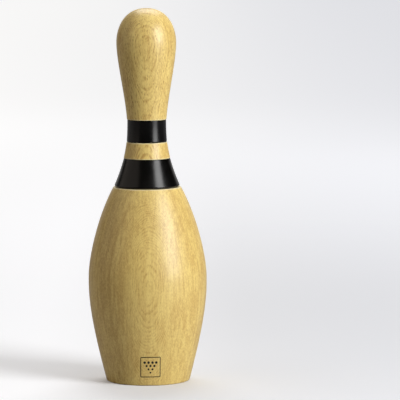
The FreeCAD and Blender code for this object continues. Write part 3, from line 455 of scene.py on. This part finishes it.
@dataclass(frozen=True)
class Lacquer(Finish):
    """Satin black lacquer on turned wood, with the faintest trace of the grain and the lathe."""

    light: Colour = (0.0012, 0.0010, 0.0008)
    dark: Colour = (0.0004, 0.0003, 0.0002)

    def fill(self, board: NodeBoard) -> None:
        """Soft clouds of tone and gloss over a relief of grain, turning lines and orange peel.

        Args:
            board: the node tree to fill.
        """
        place = board.millimetres()
        height = board.split(place)[2]
        cloud = board.noise(place, (7.0, 7.0, 11.0))
        grain = board.noise(place, (0.8, 0.8, 9.0))
        peel = board.noise(place, (1.3, 1.3, 1.3), 1.0)
        turning = board.noise_along(height, 0.45, 2.0)
        relief = board.total(
            board.times(grain, 0.35), board.times(peel, 0.4), board.times(turning, 0.25)
        )
        board.finish(
            Base_Color=board.blend(board.remap(cloud, (0.35, 0.65)), self.dark, self.light),
            Roughness=board.remap(cloud, (0.3, 0.7), (0.22, 0.27)),
            Specular_IOR_Level=0.30,
            Normal=board.bump(relief, 0.006),
        )


@dataclass(frozen=True)
class Moulded(Finish):
    """Matt black moulded plastic from a spark-eroded mould."""

    light: Colour = (0.026, 0.026, 0.027)
    dark: Colour = (0.014, 0.014, 0.015)
    grain: float = 0.22

    def fill(self, board: NodeBoard) -> None:
        """A fine pebbled relief, slightly cloudy in tone and gloss.

        Args:
            board: the node tree to fill.
        """
        place = board.millimetres()
        pebble, _ = board.cells(place, (self.grain, self.grain, self.grain))
        cloud = board.noise(place, (5.0, 5.0, 5.0), 3.0)
        board.finish(
            Base_Color=board.blend(board.remap(cloud, (0.35, 0.65)), self.dark, self.light),
            Roughness=board.remap(cloud, (0.3, 0.7), (0.44, 0.56)),
            Normal=board.bump(pebble, 0.012),
        )


@dataclass(frozen=True)
class Ceramic(Finish):
    """Fired and unglazed grinding ceramic."""

    light: Colour = (0.80, 0.78, 0.73)
    dark: Colour = (0.68, 0.65, 0.59)
    speck: Colour = (0.42, 0.38, 0.33)

    def fill(self, board: NodeBoard) -> None:
        """A chalky surface with fine specks.

        Args:
            board: the node tree to fill.
        """
        place = board.millimetres()
        grit = board.noise(place, (0.18, 0.18, 0.18), 3.0)
        cloud = board.noise(place, (3.0, 3.0, 3.0), 2.0)
        near, own = board.cells(place, (0.9, 0.9, 0.9))
        specks = board.remap(near, (0.08, 0.2), (1.0, 0.0))
        specks = board.times(specks, board.remap(own, (0.6, 0.7)))
        colour = board.blend(board.remap(cloud, (0.3, 0.7)), self.light, self.dark)
        board.finish(
            Base_Color=board.blend(board.times(specks, 0.5), colour, self.speck),
            Roughness=board.remap(grit, (0.3, 0.7), (0.55, 0.72)),
            Normal=board.bump(grit, 0.02),
        )


class Lay(Enum):
    """Which way the fine tool lines of a metal piece run."""

    ALONG = (0.07, 0.07, 6.0)
    ACROSS = (0.07, 6.0, 0.07)
    ROUND = (0.0, 0.0, 0.0)


@dataclass(frozen=True)
class Metal(Finish):
    """Bare metal with drawn, brushed or turned lines.

    Attributes:
        light: the colour of the clean metal.
        dark: the colour in the lines.
        lay: which way the lines run.
        gloss: roughness of the smoothest and the dullest places.
    """

    light: Colour = (0.62, 0.62, 0.63)
    dark: Colour = (0.46, 0.46, 0.47)
    lay: Lay = Lay.ALONG
    gloss: tuple[float, float] = (0.24, 0.38)

    def fill(self, board: NodeBoard) -> None:
        """Fine lines in tone, gloss and relief, and a cloudy film over them.

        Args:
            board: the node tree to fill.
        """
        place = board.millimetres()
        x, y, z = board.split(place)
        if self.lay is Lay.ROUND:
            out = board.from_axis(x, y)
            lines = board.noise(board.join(out, 0.0, z), (0.09, 1.0, 0.09), 2.0)
        else:
            lines = board.noise(place, self.lay.value, 2.0)
        film = board.noise(place, (2.5, 2.5, 2.5), 3.0)
        share = board.total(board.times(lines, 0.6), board.times(film, 0.4))
        board.finish(
            Base_Color=board.blend(board.remap(share, (0.35, 0.65)), self.light, self.dark),
            Metallic=1.0,
            Roughness=board.remap(share, (0.3, 0.7), self.gloss),
            Normal=board.bump(lines, 0.004),
        )


@dataclass(frozen=True)
class Ink(Finish):
    """Dark ink printed on the oiled wood."""

    light: Colour = (0.022, 0.016, 0.010)
    dark: Colour = (0.006, 0.005, 0.004)

    def fill(self, board: NodeBoard) -> None:
        """Ink a little thinner where the fibres stand up.

        Args:
            board: the node tree to fill.
        """
        place = board.millimetres()
        fibres = board.noise(place, (0.3, 0.3, 2.5), 3.0)
        board.finish(
            Base_Color=board.blend(board.remap(fibres, (0.5, 0.75)), self.dark, self.light),
            Roughness=board.remap(fibres, (0.3, 0.7), (0.45, 0.6)),
            Normal=board.bump(fibres, 0.006),
        )


BODY_BEECH = Beech("beech_body", pith=(3.0, -92.0), edges=(145.75,))
KNOB_BEECH = Beech(
    "beech_knob",
    pith=(-0.6, -74.0),
    ring=1.15,
    light=(0.790, 0.605, 0.206),
    fleck_share=0.7,
    fleck_size=(1.2, 1.3, 2.7),
    edges=(196.25,),
    cloudy=0.13,
    striped=0.22,
)
RING_BEECH = Beech(
    "beech_neck_ring",
    pith=(-0.6, -60.0),
    ring=1.0,
    fleck_share=0.25,
    edges=(167.25, 179.4),
    cloudy=0.06,
    striped=0.28,
    ringed=0.75,
)
BLACK_LACQUER = Lacquer("satin_black_lacquer")
BLACK_PLASTIC = Moulded("matt_black_plastic")
GRINDING_CERAMIC = Ceramic("grinding_ceramic")
DRAWN_STEEL = Metal("drawn_steel")
STAMPED_STEEL = Metal("stamped_steel", lay=Lay.ACROSS)
TURNED_STEEL = Metal("turned_steel", lay=Lay.ROUND)
TURNED_BRASS = Metal(
    "turned_brass", (0.76, 0.56, 0.26), (0.60, 0.42, 0.17), lay=Lay.ROUND, gloss=(0.22, 0.36)
)
PRINTED_INK = Ink("printed_ink")


# ---------------------------------------------------------------- meshes


def skin(name: str, rings: Sequence[Sequence[Point]], smooth: bool = True) -> bpy.types.Object:
    """Stretch a closed skin over rings of points, with a flat cap on each end.

    Args:
        name: the piece's name.
        rings: rows of the same number of points, in metres, each running counter-clockwise seen
            from where the rows are heading.
        smooth: whether neighbouring faces are shaded as one surface where they meet gently.

    Returns:
        The new object.
    """
    count = len(rings[0])
    points = [point for ring in rings for point in ring]
    faces = []
    for row in range(len(rings) - 1):
        for i in range(count):
            here, there = row * count + i, row * count + (i + 1) % count
            faces.append((here, there, there + count, here + count))
    faces.append(tuple(reversed(range(count))))
    faces.append(tuple((len(rings) - 1) * count + i for i in range(count)))
    return solid(name, points, faces, smooth)


def solid(
    name: str, points: Sequence[Point], faces: Sequence[Sequence[int]], smooth: bool = True
) -> bpy.types.Object:
    """A mesh object from points and faces.

    Args:
        name: the piece's name.
        points: the corners, in metres.
        faces: the corner numbers of each face, counter-clockwise seen from outside.
        smooth: whether neighbouring faces are shaded as one surface where they meet gently.

    Returns:
        The new object.
    """
    mesh = bpy.data.meshes.new(name)
    mesh.from_pydata(points, [], faces)
    mesh.validate()
    if smooth:
        mesh.shade_smooth()
        mesh.set_sharp_from_angle(angle=SHARP_ANGLE)
    thing = bpy.data.objects.new(name, mesh)
    bpy.context.scene.collection.objects.link(thing)
    return thing


@dataclass
class SubAssembly:
    """A group of pieces that ride on one body of the frame.

    Attributes:
        body: the body's name.
    """

    body: str

    def carry(self, node: str, finish: Finish) -> None:
        """Give a piece of the frame its finish.

        Args:
            node: the piece's name in the frame.
            finish: its finish.
        """
        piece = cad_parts[node]
        for place in piece.material_slots:
            place.link = "OBJECT"
            place.material = finish.material()
        log.info("%s: %s", node, finish.name)

    def fit(
        self, piece: bpy.types.Object, finish: Finish, slot: str, node: str | None = None
    ) -> bpy.types.Object:
        """Dress a new piece and let it ride on the body.

        Args:
            piece: the new piece, already in place.
            finish: its finish.
            slot: a material slot's name; not used.
            node: the piece of the frame that it stands for, if any.

        Returns:
            The same piece.
        """
        piece.data.materials.append(finish.material())
        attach(piece, self.body)
        if node:
            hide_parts(node)
        log.info("%s: %s, %d faces", piece.name, finish.name, len(piece.data.polygons))
        return piece

    def build(self) -> None:
        """Make and dress every piece of the group."""
        raise NotImplementedError


# ---------------------------------------------------------------- the mill's groups


@dataclass
class MillBody(SubAssembly):
    """The turned body with the bush in its mouth and the fixed half of the grinder.

    Attributes:
        foot_radius: radius of the body at the floor.
        belly_radius: largest radius of the body.
        belly_height: height of the largest radius.
        foot_pull: height of the outline's first pole.
        belly_pull: height of the outline's second pole.
    """

    body: str = "body"
    foot_radius: float = 31.1
    belly_radius: float = 44.26
    belly_height: float = 77.4
    foot_pull: float = 49.8
    belly_pull: float = 65.7

    def build(self) -> None:
        """Dress the body, the bush and the grinder's fixed pieces."""
        self.carry("body_shell", BODY_BEECH)
        for node in ("neck_bush", "grinder_housing", "ring_retainer", "bearing_spider"):
            self.carry(node, BLACK_PLASTIC)
        self.carry("grinding_ring", GRINDING_CERAMIC)
        self.carry("housing_screws", TURNED_STEEL)

    def radius_at(self, height: float) -> float:
        """The body's outer radius at a height, found by halving the outline.

        Args:
            height: a height below the belly, in millimetres.

        Returns:
            The radius, in millimetres.
        """
        low, high = 0.0, 1.0
        halvings = 40
        for _ in range(halvings):
            share = (low + high) / 2.0
            if self.outline(share)[1] < height:
                low = share
            else:
                high = share
        return self.outline(low)[0]

    def outline(self, share: float) -> FlatPoint:
        """A point of the lower outline.

        Args:
            share: how far along the outline, from 0 at the foot to 1 at the belly.

        Returns:
            The radius and the height, in millimetres.
        """
        rest = 1.0 - share
        weights = (rest**3, 3.0 * share * rest**2, 3.0 * share**2 * rest, share**3)
        radii = (self.foot_radius, self.belly_radius, self.belly_radius, self.belly_radius)
        heights = (0.0, self.foot_pull, self.belly_pull, self.belly_height)
        radius = sum(weight * pole for weight, pole in zip(weights, radii))
        height = sum(weight * pole for weight, pole in zip(weights, heights))
        return radius, height


@dataclass
class FootMark(SubAssembly):
    """The small printed frame low on the body, holding a plain triangle of dots.

    Attributes:
        wood: the body that it is printed on.
        turn: how far the mark stands round from the front, in degrees.
        middle: height of the mark's middle, in millimetres.
        side: outer side of the frame.
        line: width of the frame's line.
        corner: rounding of the frame's outer corners.
        stretch: how much taller the mark is than wide.
        dot: radius of the largest dots.
        pitch: distance between dots.
        top_row: height of the top row of dots above the mark's middle.
        row_step: distance between rows, as a share of the pitch.
        shrink: how much smaller the dots get from row to row.
        proud: how far the ink stands out of the wood.
        sunk: how far the ink reaches into the wood.
    """

    body: str = "body"
    wood: MillBody | None = None
    turn: float = 3.7
    middle: float = 14.6
    side: float = 15.1
    line: float = 0.58
    corner: float = 0.8
    stretch: float = 1.05
    dot: float = 0.95
    pitch: float = 2.9
    top_row: float = 3.4
    row_step: float = 0.86
    shrink: float = 0.1
    proud: float = 0.03
    sunk: float = 0.04

    def on_wood(self, right: float, up: float, out: float) -> Point:
        """A point of the flat drawing laid on the wood.

        Args:
            right: distance right of the mark's middle, in millimetres.
            up: distance above the mark's middle.
            out: distance out of the wood.

        Returns:
            The point, in metres.
        """
        height = self.middle + up * self.stretch
        radius = self.wood.radius_at(height)
        angle = math.radians(self.turn) + right / radius
        reach = radius + out
        return (reach * math.sin(angle) * MM, -reach * math.cos(angle) * MM, height * MM)

    def loop(
        self, half: float, corner: float, steps: int = 5, spans: int = 14
    ) -> list[FlatPoint]:
        """A square with round corners, as points of the drawing, counter-clockwise.

        Args:
            half: half of the square's side.
            corner: radius of its corners.
            steps: spans in each corner.
            spans: spans on each side.

        Returns:
            The points.
        """
        flat = half - corner
        side = [(half, -flat + 2.0 * flat * span / spans) for span in range(spans)]
        angles = [math.pi / 2.0 * step / steps for step in range(steps)]
        bend = [
            (flat + corner * math.cos(angle), flat + corner * math.sin(angle)) for angle in angles
        ]
        points = side + bend
        quarter = list(points)
        for _ in range(3):
            quarter = [(-up, right) for right, up in quarter]
            points = points + quarter
        return points

    def frame_line(self) -> Surface:
        """The square line, as a closed band with a rectangular section.

        Returns:
            Its points on the wood, and its faces.
        """
        half = self.side / 2.0
        outer = self.loop(half, self.corner)
        inner = self.loop(half - self.line, self.corner - self.line)
        count = len(outer)
        rows = [(outer, self.proud), (inner, self.proud), (inner, -self.sunk), (outer, -self.sunk)]
        points = [self.on_wood(right, up, out) for row, out in rows for right, up in row]
        faces = []
        for row in range(len(rows)):
            first, after = row * count, (row + 1) % len(rows) * count
            for i in range(count):
                j = (i + 1) % count
                faces.append((first + i, first + j, after + j, after + i))
        return points, faces

    def round_dot(self, right: float, up: float, radius: float, spans: int = 20) -> Surface:
        """One dot as a thin disc.

        Args:
            right: distance of its middle right of the mark's middle, in millimetres.
            up: distance of its middle above the mark's middle.
            radius: its radius.
            spans: how many straight spans its edge has.

        Returns:
            Its points on the wood, and its faces.
        """
        points = []
        for out in (self.proud, -self.sunk):
            for i in range(spans):
                angle = 2.0 * math.pi * i / spans
                beside, above = radius * math.cos(angle), radius * math.sin(angle)
                points.append(self.on_wood(right + beside, up + above, out))
        faces = [(i, spans + i, spans + (i + 1) % spans, (i + 1) % spans) for i in range(spans)]
        faces.append(tuple(range(spans)))
        faces.append(tuple(reversed(range(spans, 2 * spans))))
        return points, faces

    def build(self) -> None:
        """Print the frame, then four rows of dots that narrow downwards."""
        parts = [self.frame_line()]
        for row, count in enumerate((4, 3, 2, 1)):
            up = self.top_row - row * self.pitch * self.row_step
            radius = self.dot - self.shrink * row
            for i in range(count):
                parts.append(self.round_dot((i - (count - 1) / 2.0) * self.pitch, up, radius))
        points, faces = [], []
        for part_points, part_faces in parts:
            start = len(points)
            points += part_points
            faces += [tuple(start + i for i in face) for face in part_faces]
        self.fit(solid("foot_mark", points, faces, smooth=False), PRINTED_INK, "black_lacquer")


@dataclass
class Head(SubAssembly):
    """The turning head: the knob, the rings on its spigot and the plug under them."""

    body: str = "head"

    def build(self) -> None:
        """Dress the turned rings, the plug and its steel."""
        self.carry("knob", KNOB_BEECH)
        self.carry("neck_ring", RING_BEECH)
        self.carry("neck_band", BLACK_LACQUER)
        self.carry("skirt_ring", BLACK_LACQUER)
        self.carry("head_plug", BLACK_PLASTIC)
        self.carry("plug_screws", TURNED_STEEL)
        self.carry("shaft_fork", STAMPED_STEEL)


@dataclass
class Drive(SubAssembly):
    """The square shaft, its collar and the spring over the cone.

    Attributes:
        half: half of the shaft's width across its flats.
        corner: rounding of the shaft's long edges.
        foot: height of the shaft's threaded end.
        thread_top: height where the thread ends.
        top: height of the shaft's upper end.
        chamfer: bevel of both ends.
        pitch: rise of the thread in one turn.
        root: radius of the thread's root.
        wire: diameter of the spring's wire.
        coil: radius of the spring at the wire's middle.
        spring_low: height of the spring's lower end.
        spring_high: height of its upper end.
        coils: turns of the spring.
    """

    body: str = "drive"
    half: float = 2.5
    corner: float = 0.22
    foot: float = 1.5
    thread_top: float = 11.5
    top: float = 178.35
    chamfer: float = 0.7
    pitch: float = 0.8
    root: float = 2.03
    wire: float = 0.9
    coil: float = 4.586
    spring_low: float = 27.05
    spring_high: float = 37.95
    coils: float = 6.0

    def build(self) -> None:
        """Model the shaft and the spring, and dress what rides with them."""
        self.fit(self.shaft(), DRAWN_STEEL, "steel", "drive_shaft")
        spring = self.fit(self.spring(), DRAWN_STEEL, "steel", "cone_spring")
        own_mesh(spring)
        for node in ("shaft_collar", "collar_pin"):
            self.carry(node, TURNED_STEEL)
        for node in ("retaining_clip", "spring_washer"):
            self.carry(node, STAMPED_STEEL)

    def square_reach(self, angle: float, half: float, corner: float) -> float:
        """How far a square with round corners reaches from its middle.

        Args:
            angle: the direction, in radians.
            half: half of the square's side.
            corner: radius of its corners.

        Returns:
            The distance, in millimetres.
        """
        along, beside = sorted((abs(math.cos(angle)), abs(math.sin(angle))), reverse=True)
        flat = half - corner
        if half * beside / along <= flat:
            return half / along
        middle = flat * (along + beside)
        return middle + math.sqrt(max(0.0, middle**2 - 2.0 * flat**2 + corner**2))

    def thread_reach(self, angle: float, height: float) -> float:
        """Radius of the threaded end, whose thread runs out before the square begins.

        Args:
            angle: the direction, in radians.
            height: the height, in millimetres.

        Returns:
            The radius, in millimetres.
        """
        phase = ((height - self.foot) / self.pitch - angle / (2.0 * math.pi)) % 1.0
        crest = min(1.0, max(0.0, (abs(2.0 * phase - 1.0) - 0.25) / 0.62))
        run_out = min(1.0, max(0.0, (self.thread_top - 0.9 - height) / 0.6))
        reach = self.root + (self.half - self.root) * (crest * run_out + (1.0 - run_out) * 0.6)
        return min(reach, self.half - self.chamfer + (height - self.foot))

    def shaft(self) -> bpy.types.Object:
        """The shaft: a threaded round end, then a square bar."""
        to_corner = (0.0, 8.0, 16.0, 24.0, 31.0, 37.0, 41.5, 43.2, 45.0)
        quarter = to_corner + (46.8, 48.5, 53.0, 59.0, 66.0, 74.0, 82.0)
        angles = [math.radians(90.0 * side + step) for side in range(4) for step in quarter]
        rings = []
        steps = 125
        for step in range(steps + 1):
            height = self.foot + (self.thread_top - self.foot) * step / steps
            rings.append([self.thread_reach(angle, height) for angle in angles] + [height])
        levels = ((self.thread_top, 0.0), (self.top - self.chamfer, 0.0), (self.top, self.chamfer))
        for height, inset in levels:
            half = self.half - inset
            reaches = [self.square_reach(angle, half, self.corner) for angle in angles]
            rings.append(reaches + [height])
        rows = [
            [
                (reach * math.cos(angle) * MM, reach * math.sin(angle) * MM, ring[-1] * MM)
                for reach, angle in zip(ring, angles)
            ]
            for ring in rings
        ]
        return skin("drive_shaft_threaded", rows)

    def spring(self) -> bpy.types.Object:
        """The spring, with its end coils closed and ground flat."""
        around, per_turn = 12, 40
        ground = self.wire / 2.0 * 0.6
        low, high = self.spring_low + ground, self.spring_high - ground
        steps = int(self.coils * per_turn)
        closed = self.wire * 1.02
        rows = []
        for step in range(steps + 1):
            turns = step / per_turn
            open_rise = (high - low - 2.0 * closed) / (self.coils - 2.0)
            rise = min(turns, 1.0) * closed
            rise += min(max(turns - 1.0, 0.0), self.coils - 2.0) * open_rise
            rise += max(turns - self.coils + 1.0, 0.0) * closed
            angle = 2.0 * math.pi * turns
            ring = []
            for i in range(around):
                spin = 2.0 * math.pi * i / around
                reach = self.coil + self.wire / 2.0 * math.cos(spin)
                height = low + rise + self.wire / 2.0 * math.sin(spin)
                height = min(max(height, self.spring_low), self.spring_high)
                x, y = reach * math.cos(angle), reach * math.sin(angle)
                ring.append((x * MM, y * MM, height * MM))
            rows.append(list(reversed(ring)))
        return skin("cone_spring_coil", rows)


@dataclass
class GrinderCone(SubAssembly):
    """The turning half of the grinder: the ceramic cone on its carrier, and the feed auger."""

    body: str = "cone"

    def build(self) -> None:
        """Dress the cone and the moulded pieces."""
        self.carry("grinding_cone", GRINDING_CERAMIC)
        self.carry("cone_carrier", BLACK_PLASTIC)
        self.carry("feed_auger", BLACK_PLASTIC)


@dataclass
class Adjuster(SubAssembly):
    """The finger wheel and its brass nut."""

    body: str = "adjuster"

    def build(self) -> None:
        """Dress the wheel and the nut."""
        self.carry("adjusting_wheel", BLACK_PLASTIC)
        self.carry("threaded_insert", TURNED_BRASS)


# ---------------------------------------------------------------- studio


@dataclass(frozen=True)
class SoftBox:
    """A rectangular lamp that points at the mill.

    Attributes:
        name: the lamp's name.
        azimuth: direction from the mill, in degrees right of the front.
        elevation: height of the lamp above the horizon, in degrees.
        reach: distance from the mill, in metres.
        size: width and height, in metres.
        radiance: how bright its face is.
        tint: its colour.
    """

    name: str
    azimuth: float
    elevation: float
    reach: float
    size: tuple[float, float]
    radiance: float
    tint: Colour = (1.0, 1.0, 1.0)

    def place(self, aim: Vector) -> None:
        """Hang the lamp and point it.

        Args:
            aim: the point that it lights, in metres.
        """
        lamp = bpy.data.lights.new(self.name, "AREA")
        lamp.shape = "RECTANGLE"
        lamp.size, lamp.size_y = self.size
        lamp.energy = self.radiance * math.pi * self.size[0] * self.size[1]
        lamp.color = self.tint
        thing = bpy.data.objects.new(self.name, lamp)
        bpy.context.scene.collection.objects.link(thing)
        turn, rise = math.radians(self.azimuth), math.radians(self.elevation)
        flat = math.cos(rise)
        back = Vector((math.sin(turn) * flat, -math.cos(turn) * flat, math.sin(rise)))
        thing.location = aim + back * self.reach
        thing.rotation_euler = back.to_track_quat("Z", "Y").to_euler()
        thing.visible_camera = False
        log.info("%s: radiance %.2f", self.name, self.radiance)


SOFTBOXES = (
    SoftBox("key_softbox", 52.0, 20.0, 1.5, (0.72, 1.15), 11.1),
    SoftBox("left_fill", -80.0, 25.0, 1.8, (2.8, 1.6), 0.60, (1.0, 0.88, 0.77)),
    SoftBox("top_softbox", 174.0, 56.0, 1.5, (1.0, 0.8), 4.4),
)


@dataclass(frozen=True)
class WhiteFloor:
    """A wide white floor that keeps the mill's shadow and shows as white to the camera.

    Attributes:
        half: half of its side, in metres.
        paper_left: its paper left of the mill.
        shaded_paper_right: its paper right of the mill, darker there as painted shade.
        glow_near: its own light near the mill, on the left, a painted light that lightens the
            mill's shadow there.
        glow_left: its own light far out on the left.
        glow_right: its own light far out on the right, dimmer than on the left as painted shade.
        bounce: its paper as other surfaces see it, behind the mill.
        mirrored: the most of its own light that reflections see.
    """

    half: float = 14.0
    paper_left: Colour = (0.765, 0.775, 0.80)
    shaded_paper_right: Colour = (0.695, 0.71, 0.75)
    glow_near: Colour = (0.19, 0.19, 0.195)
    glow_left: Colour = (0.77, 0.77, 0.77)
    glow_right: Colour = (0.595, 0.605, 0.64)
    bounce: Colour = (0.36, 0.36, 0.36)
    mirrored: float = 0.3

    def lay(self) -> None:
        """Lay the floor under the mill."""
        half = self.half
        corners = [(-half, -half, 0.0), (half, -half, 0.0), (half, half, 0.0), (-half, half, 0.0)]
        floor = solid("floor", corners, [(0, 1, 2, 3)], smooth=False)
        paper = bpy.data.materials.new("white_sweep")
        paper.use_nodes = True
        self.fill(NodeBoard(paper.node_tree))
        floor.data.materials.append(paper)

    def fill(self, board: NodeBoard) -> None:
        """Paper that the lamps light, and a light of its own that grows with distance, with
        painted shade right of the mill and painted light near it on the left.

        Args:
            board: the node tree to fill.
        """
        x, y, _ = board.split(board.add("ShaderNodeTexCoord").outputs["Object"])
        reach = board.from_axis(x, y)
        camera = board.add("ShaderNodeLightPath").outputs["Is Camera Ray"]
        bounce = board.blend(board.remap(y, (-0.45, -0.05), (0.2, 1.0)), BLACK, self.bounce)
        # painted shade: the paper is darker right of the mill
        paper = board.blend(board.remap(x, (-0.08, 0.24)), self.paper_left, self.shaded_paper_right)
        lit = board.add("ShaderNodeBsdfDiffuse", {"Color": board.blend(camera, bounce, paper)})
        # painted light: a glow near the mill on the left lightens its shadow there
        near = board.blend(board.remap(x, (-0.11, 0.09)), self.glow_near, BLACK)
        left = board.blend(board.remap(reach, (0.35, 2.4)), near, self.glow_left)
        right = board.blend(board.remap(reach, (0.2, 1.9)), near, self.glow_right)
        # painted shade: the floor's own light is dimmer right of the mill than left of it
        own = board.blend(board.remap(x, (-0.45, 0.55)), left, right)
        glow = board.add("ShaderNodeEmission", {"Color": own, "Strength": 1.0})
        seen = board.background_rays(board.remap(reach, (0.5, 2.5), (0.0, self.mirrored)))
        shown = board.add("ShaderNodeMixShader", {0: seen, 2: glow.outputs[0]})
        both = board.add("ShaderNodeAddShader", {0: lit.outputs[0], 1: shown.outputs[0]})
        board.add("ShaderNodeOutputMaterial", {0: both.outputs[0]})


@dataclass
class Studio:
    """A white floor, a pale room, three softboxes and the camera.

    Attributes:
        aim: what the lamps point at.
        camera_place: where the camera stands.
        pitch: how far the camera looks down, in degrees.
        roll: how far it leans, in degrees.
        lens: its focal length, in millimetres.
        room_tint: colour of the room's light.
        backdrop: the pale background.
        behind: where the room's bright back begins and ends, as the Y part of a direction.
        mirrored: the most of the background that reflections see.
    """

    aim: Vector
    camera_place: Point = (0.0395, -2.545, 0.4052)
    pitch: float = 6.05
    roll: float = -0.25
    lens: float = 307.9
    room_tint: Colour = (1.0, 0.95, 0.88)
    backdrop: Colour = (0.90, 0.91, 0.93)
    behind: Span = (0.65, 0.98)
    mirrored: float = 0.3

    def build(self) -> None:
        """Set up the floor, the surroundings, the lamps and the camera."""
        WhiteFloor().lay()
        self.light_surroundings()
        for lamp in SOFTBOXES:
            lamp.place(self.aim)
        self.stand_camera()

    def light_surroundings(self) -> None:
        """A world that is bright behind the mill, dim in front of it, and pale to the camera."""
        world = bpy.data.worlds.new("studio_room")
        world.use_nodes = True
        bpy.context.scene.world = world
        board = NodeBoard(world.node_tree)
        _, y, z = board.split(board.add("ShaderNodeTexCoord").outputs["Generated"])
        back = board.remap(y, self.behind, (0.018, 0.56))
        top = board.remap(z, (0.35, 0.95), (0.0, 0.30))
        light = {"Color": (*self.room_tint, 1.0), "Strength": board.total(back, top)}
        room = board.add("ShaderNodeBackground", light)
        pale = {"Color": (*self.backdrop, 1.0), "Strength": 1.0}
        sweep = board.add("ShaderNodeBackground", pale)
        seen = board.background_rays(board.remap(y, self.behind, (0.0, self.mirrored)))
        inputs = {0: seen, 1: room.outputs[0], 2: sweep.outputs[0]}
        shown = board.add("ShaderNodeMixShader", inputs)
        board.add("ShaderNodeOutputWorld", {0: shown.outputs[0]})

    def stand_camera(self) -> None:
        """Stand the camera in front of the mill, looking slightly down."""
        data = bpy.data.cameras.new("camera")
        data.lens = self.lens
        data.sensor_width = SENSOR_WIDTH
        camera = bpy.data.objects.new("camera", data)
        bpy.context.scene.collection.objects.link(camera)
        tilt = Matrix.Rotation(math.radians(90.0 - self.pitch), 4, "X")
        lean = Matrix.Rotation(math.radians(self.roll), 4, "Z")
        camera.matrix_world = Matrix.Translation(self.camera_place) @ tilt @ lean
        bpy.context.scene.camera = camera


def main() -> None:
    """Build every group of the mill, then the studio round it."""
    logging.basicConfig(level=logging.INFO, format="%(name)s: %(message)s")
    bpy.context.scene.view_settings.view_transform = "Standard"
    wood = MillBody()
    for group in (wood, FootMark(wood=wood), Head(), Drive(), GrinderCone(), Adjuster()):
        group.build()
    Studio(aim=Vector((0.0, 0.0, 0.14))).build()


if __name__ == "__main__":
    main()
